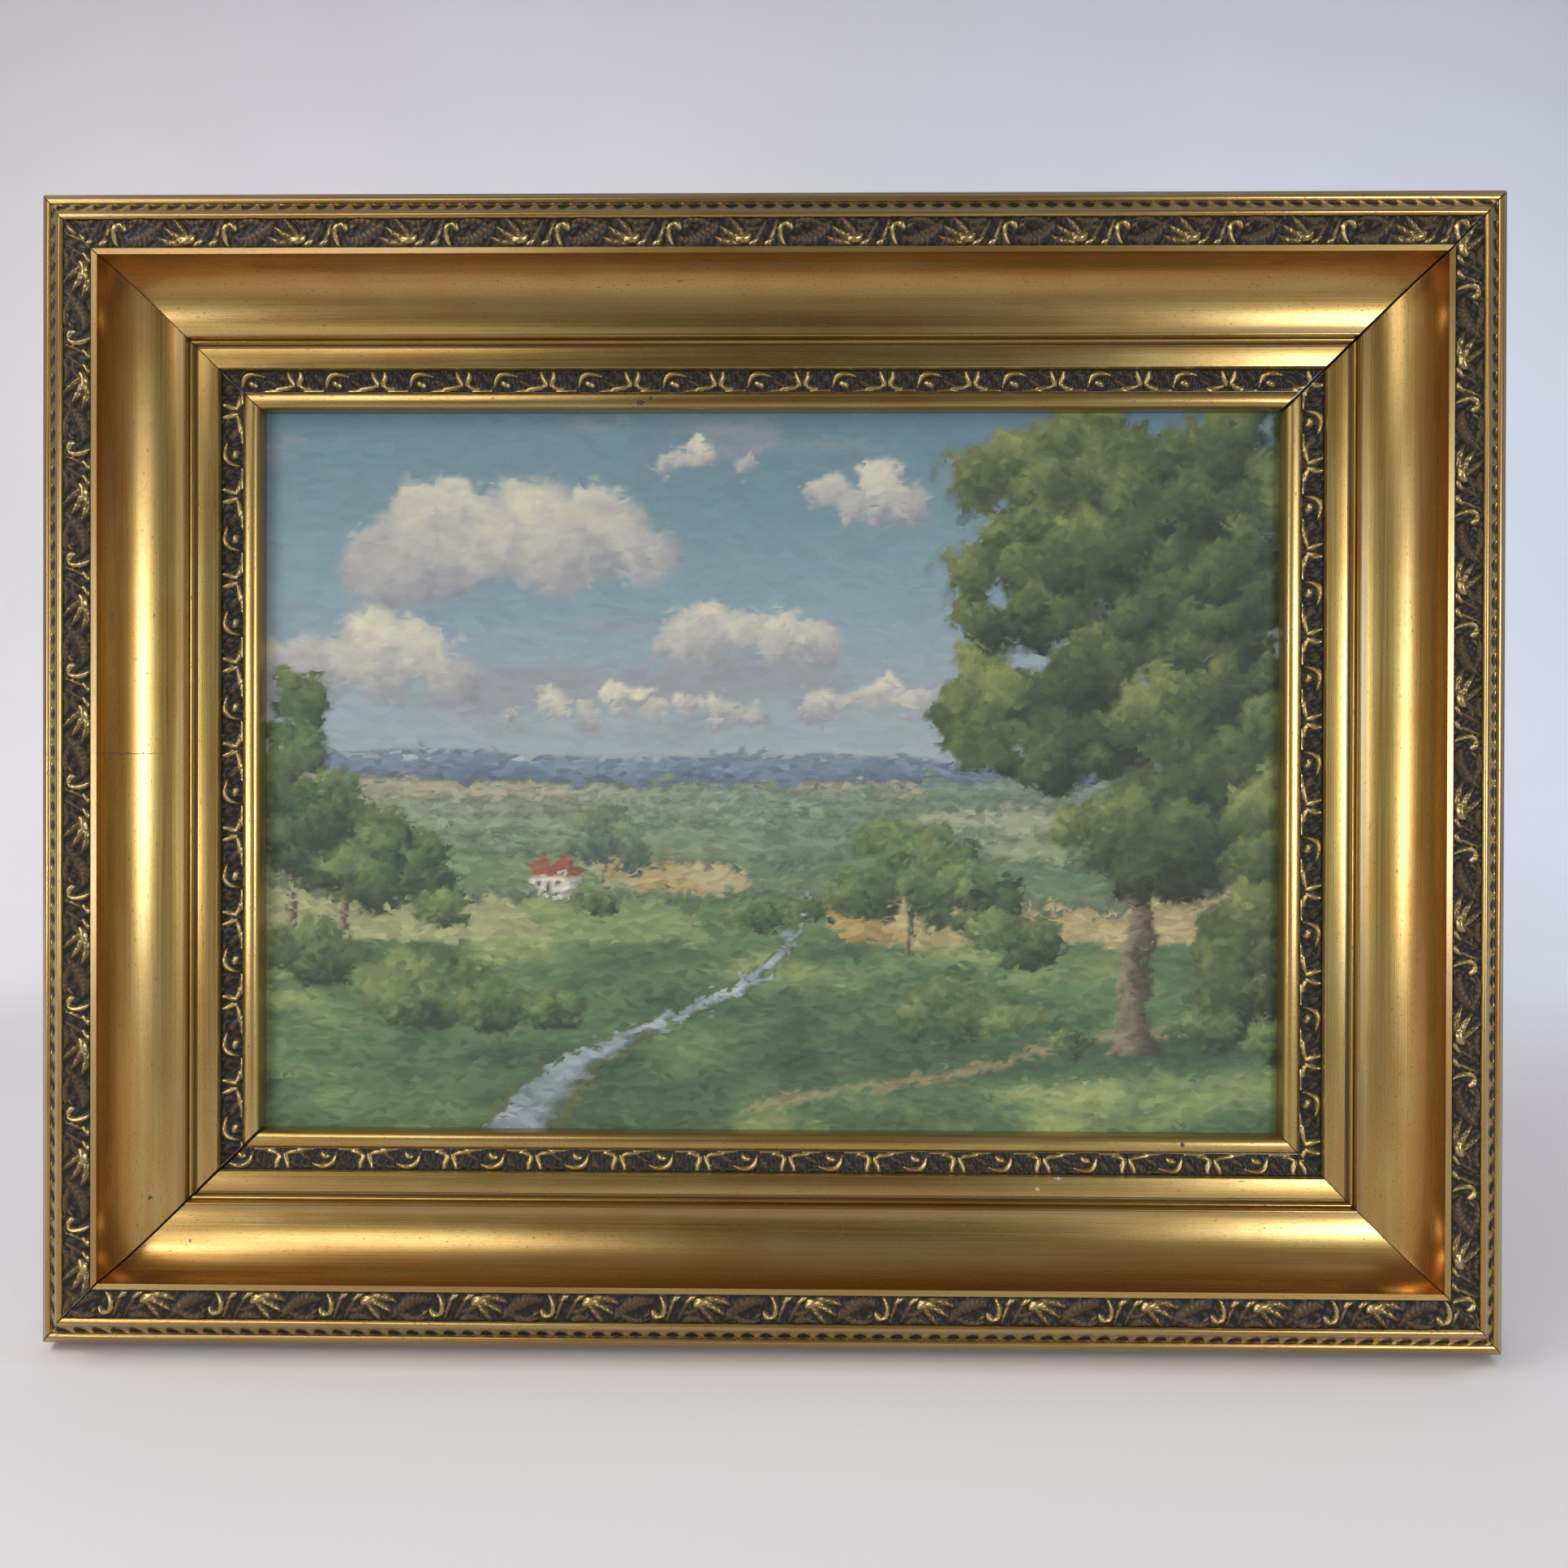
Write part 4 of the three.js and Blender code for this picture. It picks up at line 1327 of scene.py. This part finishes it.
@dataclass(frozen=True)
class OilPaint:
    """Oil paint in broken dabs on canvas-grained board: broad in the sky, short in the leaves."""

    roughness: float = 0.5
    strength: float = 0.84
    richness: float = 0.96
    bend: Colour = (0.004, 0.004, 0.0)
    dabs: tuple[Colour, Colour, Colour] = ((150.0, 420.0, 1.0), (340.0, 430.0, 1.0), (240.0, 620.0, 1.0))
    bristles: Colour = (420.0, 3600.0, 1.0)
    thread: float = 0.62

    def material(self) -> bpy.types.Material:
        """The finish as a material that picks between the board's three coats of colour."""
        material, graph, shader = surface("oil_paint")
        parts = graph.add("ShaderNodeSeparateXYZ", {"Vector": graph.solid_place()}).outputs
        flat = graph.add("ShaderNodeCombineXYZ", {"X": parts["X"], "Y": parts["Z"]}).outputs[0]
        wander = graph.add("ShaderNodeTexNoise", {"Vector": flat, "Scale": 90.0, "Detail": 1.0},
                           noise_dimensions="2D").outputs["Color"]
        bent = graph.vector("MULTIPLY_ADD", wander, self.bend, flat)
        airy, leafy = graph.attribute(AIRY), graph.attribute(LEAFY)
        pick, tone, edge = (
            graph.blend(airy, graph.blend(leafy, ground, leaf), sky)
            for sky, leaf, ground in zip(*(self.dab(graph, bent, size) for size in self.dabs))
        )
        second = graph.spread(pick, 0.36, 0.4)
        third = graph.spread(pick, 0.68, 0.72)
        coat = graph.mix(second, graph.attribute("coat_1", "Color"), graph.attribute("coat_2", "Color"))
        coat = graph.mix(third, coat, graph.attribute("coat_3", "Color"))
        angle = graph.math("MULTIPLY", graph.blend(airy, tone, 0.1), 2.6)
        turned = graph.add("ShaderNodeVectorRotate", {"Vector": bent, "Angle": angle}, rotation_type="Z_AXIS")
        bristle = graph.noise(graph.place(turned.outputs[0], self.bristles), 1.0, 2.0, 0.6, flat=True)
        value = graph.math("ADD", graph.sway(tone, graph.blend(airy, 0.42, 0.1)), 1.0)
        value = graph.math("ADD", value, graph.sway(bristle, 0.22))
        varied = graph.add("ShaderNodeHueSaturation", {
            "Color": coat,
            "Hue": graph.spread(pick, 0.0, 1.0, 0.492, 0.508),
            "Saturation": self.richness,
            "Value": graph.math("MULTIPLY", value, self.strength),
        })
        grain = graph.bump(self.weave(graph, parts), 0.00012, 0.35)
        ridge = graph.weigh((edge, 0.5), (bristle, 0.5))
        graph.fill(shader, {
            "Base Color": varied.outputs[0],
            "Roughness": graph.spread(bristle, 0.3, 0.7, self.roughness - 0.1, self.roughness + 0.12),
            "Normal": graph.bump(ridge, 0.00035, 0.5, grain),
        })
        return material

    def dab(self, graph: Graph, flat: Socket, scale: Colour) -> tuple[Socket, Socket, Socket]:
        """One size of dab.

        Args:
            graph: the material's graph.
            flat: coordinates on the picture.
            scale: dabs to the metre, along and up.

        Returns:
            Two random values that are each the same all over a dab, and the distance from its middle.
        """
        cells = graph.add("ShaderNodeTexVoronoi", {"Vector": graph.place(flat, scale), "Scale": 1.0},
                          voronoi_dimensions="2D")
        split = graph.add("ShaderNodeSeparateColor", {"Color": cells.outputs["Color"]})
        return split.outputs[0], split.outputs[1], cells.outputs["Distance"]

    def weave(self, graph: Graph, parts: bpy.types.bpy_prop_collection) -> Socket:
        """The board's pressed canvas grain, as a height, from the parts of a place."""
        threads = 2 * math.pi / (self.thread * MM)
        waves = [graph.math("SINE", graph.math("MULTIPLY", parts[axis], threads)) for axis in ("X", "Z")]
        return graph.math("MAXIMUM", *waves)


@dataclass(frozen=True)
class BoardBack:
    """The board's raw brown back and edges."""

    brown: Colour = pigment(128, 98, 66)
    dark: Colour = pigment(92, 68, 46)

    def material(self) -> bpy.types.Material:
        """The finish as a material."""
        material, graph, shader = surface("raw_hardboard")
        solid = graph.solid_place()
        fibre = graph.noise(solid, 900.0, 5.0, 0.7)
        stain = graph.noise(solid, 14.0, 4.0, 0.6)
        colour = graph.mix(graph.spread(graph.math("ADD", fibre, stain), 0.75, 1.25), self.dark, self.brown)
        relief = graph.bump(fibre, 0.0002, 0.6)
        graph.fill(shader, {"Base Color": colour, "Roughness": 0.85, "Normal": relief})
        return material


@dataclass
class Picture:
    """The painted board."""

    spacing: float = 1.0
    landscape: Landscape = field(default_factory=Landscape)

    def build(self, centre: Vector) -> bpy.types.Object:
        """The board, with its front divided finely enough to hold the painted colours.

        Args:
            centre: the middle of the picture, in metres.

        Returns:
            The piece.
        """
        low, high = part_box("painted_board")
        columns = round((high.x - low.x) / MM / self.spacing)
        rows = round((high.z - low.z) / MM / self.spacing)
        x, z = np.meshgrid(np.linspace(low.x, high.x, columns + 1),
                           np.linspace(low.z, high.z, rows + 1), indexing="ij")
        x, z = x.ravel(), z.ravel()
        front = np.column_stack([x, np.full_like(x, low.y), z])
        across = rows + 1
        faces = [(j * across + i, (j + 1) * across + i, (j + 1) * across + i + 1, j * across + i + 1)
                 for j in range(columns) for i in range(rows)]
        rim = [j * across for j in range(columns)] + [columns * across + i for i in range(rows)]
        rim += [j * across + rows for j in range(columns, 0, -1)] + list(range(rows, 0, -1))
        base = len(front)
        behind = front[rim].copy()
        behind[:, 1] = high.y
        count = len(rim)
        faces += [(rim[k], base + k, base + (k + 1) % count, rim[(k + 1) % count]) for k in range(count)]
        faces.append(tuple(reversed(range(base, base + count))))
        mesh = bpy.data.meshes.new("painted_panel")
        mesh.from_pydata(np.vstack([front, behind]).tolist(), [], faces)
        self.colour(mesh, (x - centre.x) / MM, (z - centre.z) / MM, count)
        mesh.materials.append(OilPaint().material())
        mesh.materials.append(BoardBack().material())
        painted = columns * rows
        for face in mesh.polygons[painted:]:
            face.material_index = 1
        return own(make_object(mesh.name, mesh), "painted_board", "painted_board")

    def colour(self, mesh: bpy.types.Mesh, x: np.ndarray, z: np.ndarray, plain: int) -> None:
        """Writes three coats of colour, each painted with a hand that strays a little differently.

        Args:
            mesh: the board's mesh, whose first vertices are its painted front.
            x, z: their places in mm from the picture's centre.
            plain: how many vertices follow that carry no paint.
        """
        for number, reach in ((1, 0.0), (2, 2.4), (3, 3.2)):
            stray = Drift(100 + number)
            canvas = self.landscape.paint(x + reach * stray(x, z, 5, 2), z + reach * stray(z, x, 5, 2))
            layer = mesh.attributes.new(f"coat_{number}", "FLOAT_COLOR", "POINT")
            colours = np.column_stack([canvas.colour, np.ones(len(x))])
            layer.data.foreach_set("color", np.vstack([colours, np.zeros((plain, 4))]).ravel())
            if number == 1:
                for name, values in ((AIRY, canvas.airy), (LEAFY, canvas.leafy)):
                    mark(mesh, name, np.concatenate([values, np.zeros(plain)]))


# ---------------------------------------------------------------------------------------------
# Brads
# ---------------------------------------------------------------------------------------------


@dataclass(frozen=True)
class Brads:
    """The headless brads that hold the board in its rebate, as one tree of instances.

    The profile gives shares of a brad's radius and of its length, from its flat end to its point.
    """

    sides: int = 10
    profile: tuple[Pair, ...] = ((0.7, 0.0), (1.0, 0.02), (1.0, 0.8), (0.86, 0.86), (0.05, 1.0))

    def seed(self, radius: float, length: float) -> bpy.types.Mesh:
        """One brad along Z, turned from the profile.

        Args:
            radius, length: its size, in metres.

        Returns:
            The mesh that the tree repeats.
        """
        count = self.sides
        turns = [2 * math.pi * k / count for k in range(count)]
        places = [(radius * share * math.cos(t), radius * share * math.sin(t), length * along)
                  for share, along in self.profile for t in turns]
        faces = [(low + k, low + (k + 1) % count, low + count + (k + 1) % count, low + count + k)
                 for low in range(0, len(places) - count, count) for k in range(count)]
        faces += [tuple(reversed(range(count))), tuple(range(len(places) - count, len(places)))]
        mesh = bpy.data.meshes.new("brad_seed")
        mesh.from_pydata(places, [], faces)
        return mesh

    def tree(self) -> tuple[bpy.types.NodeTree, dict[str, str]]:
        """A node group that stands a brad at every point, along the point's own aim."""
        tree, sockets = node_group("set_brads", Brad="Object", Material="Material")
        graph = Graph(tree)
        given = graph.add("NodeGroupInput").outputs
        brad = graph.add("GeometryNodeObjectInfo", {"Object": given["Brad"]})
        aim = graph.add("GeometryNodeInputNamedAttribute", {"Name": "aim"}, data_type="FLOAT_VECTOR")
        turn = graph.add("FunctionNodeAlignRotationToVector", {"Vector": aim.outputs[0]}, axis="Z")
        stood = graph.add("GeometryNodeInstanceOnPoints",
                          {"Points": given["Geometry"], "Instance": brad.outputs["Geometry"],
                           "Rotation": turn.outputs[0]})
        real = graph.add("GeometryNodeRealizeInstances", {"Geometry": stood.outputs[0]})
        dressed = graph.add("GeometryNodeSetMaterial",
                            {"Geometry": real.outputs[0], "Material": given["Material"]})
        graph.add("NodeGroupOutput", {"Geometry": dressed.outputs[0]})
        return tree, sockets

    def build(self, rails: list[Rail]) -> bpy.types.Object:
        """Every brad, where the frame's nodes have them."""
        places, aims, nodes = [], [], []
        for rail in rails:
            out = Matrix.Rotation(rail.turn * math.pi / 2, 3, "Y") @ Vector((0, 0, 1))
            for node in sorted(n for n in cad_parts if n.startswith(f"{rail.name}_brad")):
                low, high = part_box(node)
                middle, half = (low + high) / 2, (high - low) / 2
                places.append(middle - out * abs(half.dot(out)))
                aims.append(out)
                nodes.append(node)
        length = max(high - low)
        radius = min(high - low) / 2
        points = bpy.data.meshes.new("brads")
        points.from_pydata([tuple(p) for p in places], [], [])
        aim = points.attributes.new("aim", "FLOAT_VECTOR", "POINT")
        aim.data.foreach_set("vector", np.array(aims).ravel())
        host = make_object("brads", points)
        seed = make_object("brad_seed", self.seed(radius, length))
        modifier = host.modifiers.new("brads", "NODES")
        modifier.node_group, sockets = self.tree()
        modifier[sockets["Brad"]] = seed
        modifier[sockets["Material"]] = DullSteel().material()
        mesh = applied(host, "board_brads")
        bpy.data.objects.remove(seed)
        smooth(mesh, 40.0)
        return own(make_object(mesh.name, mesh), "brads", *nodes)


# ---------------------------------------------------------------------------------------------
# The studio
# ---------------------------------------------------------------------------------------------


@dataclass(frozen=True)
class Softbox:
    """A soft light, by its bearing from the picture's face: degrees right and up, and metres away.

    One that hangs behind the picture is turned to the backdrop.
    """

    name: str
    right: float
    up: float
    away: float
    wide: float
    high: float
    power: float
    tint: Colour = (1.0, 1.0, 1.0)

    def hang(self, centre: Vector) -> None:
        """Puts the light in place, facing the picture's centre."""
        a, e = math.radians(self.right), math.radians(self.up)
        bearing = Vector((math.sin(a) * math.cos(e), -math.cos(a) * math.cos(e), math.sin(e)))
        data = bpy.data.lights.new(self.name, "AREA")
        data.shape = "RECTANGLE"
        data.size, data.size_y = self.wide, self.high
        data.energy = self.power
        data.color = self.tint
        lamp = make_object(self.name, data)
        lamp.location = centre + bearing * self.away
        facing = bearing if bearing.y < 0 else Vector((0.35 * bearing.x, -1, 0))
        lamp.rotation_euler = facing.to_track_quat("Z", "Y").to_euler()
        lamp.visible_camera = False


@dataclass(frozen=True)
class Studio:
    """A pale floor that sweeps up into a backdrop well behind the picture, soft lights and the camera. The
    floor is painted darker in front of the picture, as painted shade.
    """

    paper: Colour = pigment(245, 243, 246)
    # The darker paper of the painted shade in front of the picture.
    painted_shade_paper: Colour = pigment(139, 136, 141)
    shade_to_pale: Pair = (-0.55, -0.18)
    room: Colour = (0.26, 0.25, 0.258)
    front: Colour = (0.1, 0.094, 0.092)
    dim_from: float = 14.0
    dim_to: float = 42.0
    softboxes: tuple[Softbox, ...] = (
        Softbox("window_right", 32.0, 1.5, 1.6, 0.5, 0.44, 9.6, (0.82, 0.9, 1.0)),
        Softbox("window_left", -42.0, 4.0, 1.7, 0.5, 0.44, 5.1, (0.82, 0.9, 1.0)),
        Softbox("lamp_left", -24.0, 30.0, 1.8, 0.5, 0.7, 4.6, (1.0, 0.98, 0.95)),
        Softbox("lamp_high", -51.0, 38.0, 1.7, 0.5, 0.36, 7.0, (1.0, 0.98, 0.95)),
        Softbox("lamp_low", -38.0, -8.0, 1.7, 0.5, 0.34, 7.5, (1.0, 0.98, 0.96)),
        Softbox("fill_right", 32.0, 12.0, 1.9, 0.8, 0.3, 1.6, (0.97, 0.98, 1.0)),
        Softbox("side_right", 82.0, 45.0, 1.8, 0.9, 0.9, 5.0, (0.94, 0.97, 1.0)),
        Softbox("side_left", -80.0, 45.0, 1.8, 0.9, 0.9, 5.0, (1.0, 0.97, 0.94)),
        Softbox("wash_right", 115.0, 15.0, 1.6, 0.9, 0.9, 7.0, (0.6, 0.76, 1.0)),
        Softbox("wash_left", -115.0, 15.0, 1.6, 0.9, 0.9, 6.0, (1.0, 0.96, 0.97)),
    )
    camera_right: float = 12.2
    camera_down: float = 2.1
    camera_away: float = 494.7
    yaw: float = 0.85
    dip: float = 0.24
    roll: float = 0.16
    lens: float = 32.52

    def sweep(self, floor: float, steps: int = 12) -> None:
        """The floor and backdrop as one curved sheet.

        Args:
            floor: the floor's height, in metres.
            steps: how many flats its curve is made of.
        """
        radius, back, front, side, top = 0.9, 2.0, -3.2, 4.0, 2.6
        turns = [math.pi / 2 * k / steps for k in range(1, steps + 1)]
        curve = [(back - radius + radius * math.sin(t), floor + radius - radius * math.cos(t)) for t in turns]
        profile = [(front, floor), (back - radius, floor), *curve, (back, top)]
        places = [(x, y, z) for y, z in profile for x in (-side, side)]
        faces = [(2 * k, 2 * k + 1, 2 * k + 3, 2 * k + 2) for k in range(len(profile) - 1)]
        mesh = bpy.data.meshes.new("studio_sweep")
        mesh.from_pydata(places, [], faces)
        mesh.shade_smooth()
        material, graph, shader = surface("backdrop_paper")
        mottle = graph.noise(graph.solid_place(), 2.2, 3.0)
        paper = graph.mix(graph.spread(mottle, 0.3, 0.7), self.paper, tuple(c * 0.96 for c in self.paper))
        # Painted shade: the floor darkens from 0.18 m to 0.55 m in front of the picture and stays darker
        # beyond.
        away = graph.add("ShaderNodeSeparateXYZ", {"Vector": graph.solid_place()}).outputs["Y"]
        near = graph.spread(away, *self.shade_to_pale)
        graph.fill(shader, {"Base Color": graph.mix(near, self.painted_shade_paper, paper), "Roughness": 0.9})
        mesh.materials.append(material)
        make_object(mesh.name, mesh)

    def light(self, centre: Vector) -> None:
        """The room's own light and the softboxes."""
        world = bpy.data.worlds.new("room")
        world.use_nodes = True
        graph = Graph(world.node_tree)
        bearing = graph.add("ShaderNodeTexCoord").outputs["Generated"]
        ahead = graph.vector("DOT_PRODUCT", bearing, (0.0, -1.0, 0.0))
        dim = graph.spread(ahead, *(math.cos(math.radians(turn)) for turn in (self.dim_to, self.dim_from)))
        graph.fill(world.node_tree.nodes["Background"], {"Color": graph.mix(dim, self.room, self.front)})
        bpy.context.scene.world = world
        for softbox in self.softboxes:
            softbox.hang(centre)
        bpy.context.scene.view_settings.view_transform = "Standard"

    def camera(self, centre: Vector) -> None:
        """The camera, close before the picture's centre and almost square to it."""
        data = bpy.data.cameras.new("camera")
        data.lens = self.lens
        data.sensor_width = 36.0
        camera = make_object("camera", data)
        camera.location = (centre.x + self.camera_right * MM, -self.camera_away * MM,
                           centre.z - self.camera_down * MM)
        yaw = Matrix.Rotation(math.radians(self.yaw), 3, "Z")
        dip = Matrix.Rotation(math.radians(-self.dip), 3, "X")
        level = Matrix.Rotation(math.pi / 2, 3, "X")
        roll = Matrix.Rotation(math.radians(self.roll), 3, "Z")
        camera.rotation_euler = (yaw @ dip @ (level @ roll)).to_euler()
        bpy.context.scene.camera = camera


# ---------------------------------------------------------------------------------------------
# The whole
# ---------------------------------------------------------------------------------------------


@dataclass
class Frame:
    """The four rails with their ornament."""

    sight: Pair = (346.0, 245.0)
    tight: Pair = (0.3, 0.3)
    opened: Pair = (1.1, 0.35)
    section: Section = field(default_factory=Section)

    def rails(self) -> list[Rail]:
        """The rails clockwise from the top, with the top right and bottom left mitres open."""
        wide, high = (side * MM / 2 for side in self.sight)
        end, start = (self.tight, self.opened), (self.opened, self.tight)
        return [
            Rail("top", 0, wide, high, end, self.section),
            Rail("right", 1, high, wide, start, self.section),
            Rail("bottom", 2, wide, high, end, self.section),
            Rail("left", 3, high, wide, start, self.section),
        ]

    def courses(self) -> tuple[Course, Course, Course]:
        """The outer leaves, the inner vine and the scallops of the outer edge."""
        return (
            Course("leaf_band", self.section.leaf_band, 36.0, LEAF_REPEAT),
            Course("vine_band", self.section.vine_band, 28.6, VINE_REPEAT, 0.33),
            ScallopCourse("scallops", self.section.scallop_face, 6.1),
        )

    def build(self, centre: Vector) -> list[Rail]:
        """Builds every rail.

        Args:
            centre: the middle of the picture.

        Returns:
            The rails, for what is fixed to them.
        """
        gilding = Gilding().material()
        toned = TonedOrnament().material()
        coats = [gilding, toned, BareWood().material()]
        edge = TonedOrnament(glaze=pigment(96, 72, 42), gold=(0.48, 0.34, 0.12), name="toned_edge").material()
        tree = CourseTree()
        phases = {"top": (10.0, 5.0), "right": (16.0, 12.0), "bottom": (3.0, 16.0), "left": (22.0, 8.0)}
        for rail in self.rails():
            leaf, vine, scallops = self.courses()
            rail.moulding(coats, -centre.z)
            tree.lay(leaf, rail, phases[rail.name][0], toned, -centre.z)
            tree.lay(vine, rail, phases[rail.name][1], toned, -centre.z)
            half_pitch = scallops.pitch / 2
            tree.lay(scallops, rail, rail.half_sight / MM + self.section.width + half_pitch, edge, -centre.z)
        return self.rails()


def main() -> None:
    """Builds the picture, its frame and the studio round them."""
    logging.basicConfig(level=logging.INFO, format="%(message)s")
    low, high = (Vector(corner) for corner in CAD_BOUNDS)
    centre = Vector(((low.x + high.x) / 2, 0.0, (low.z + high.z) / 2))
    rails = Frame().build(centre)
    Picture().build(centre)
    Brads().build(rails)
    studio = Studio()
    studio.sweep(low.z - FLOOR_GAP)
    studio.light(centre)
    studio.camera(centre)


if __name__ == "__main__":
    main()
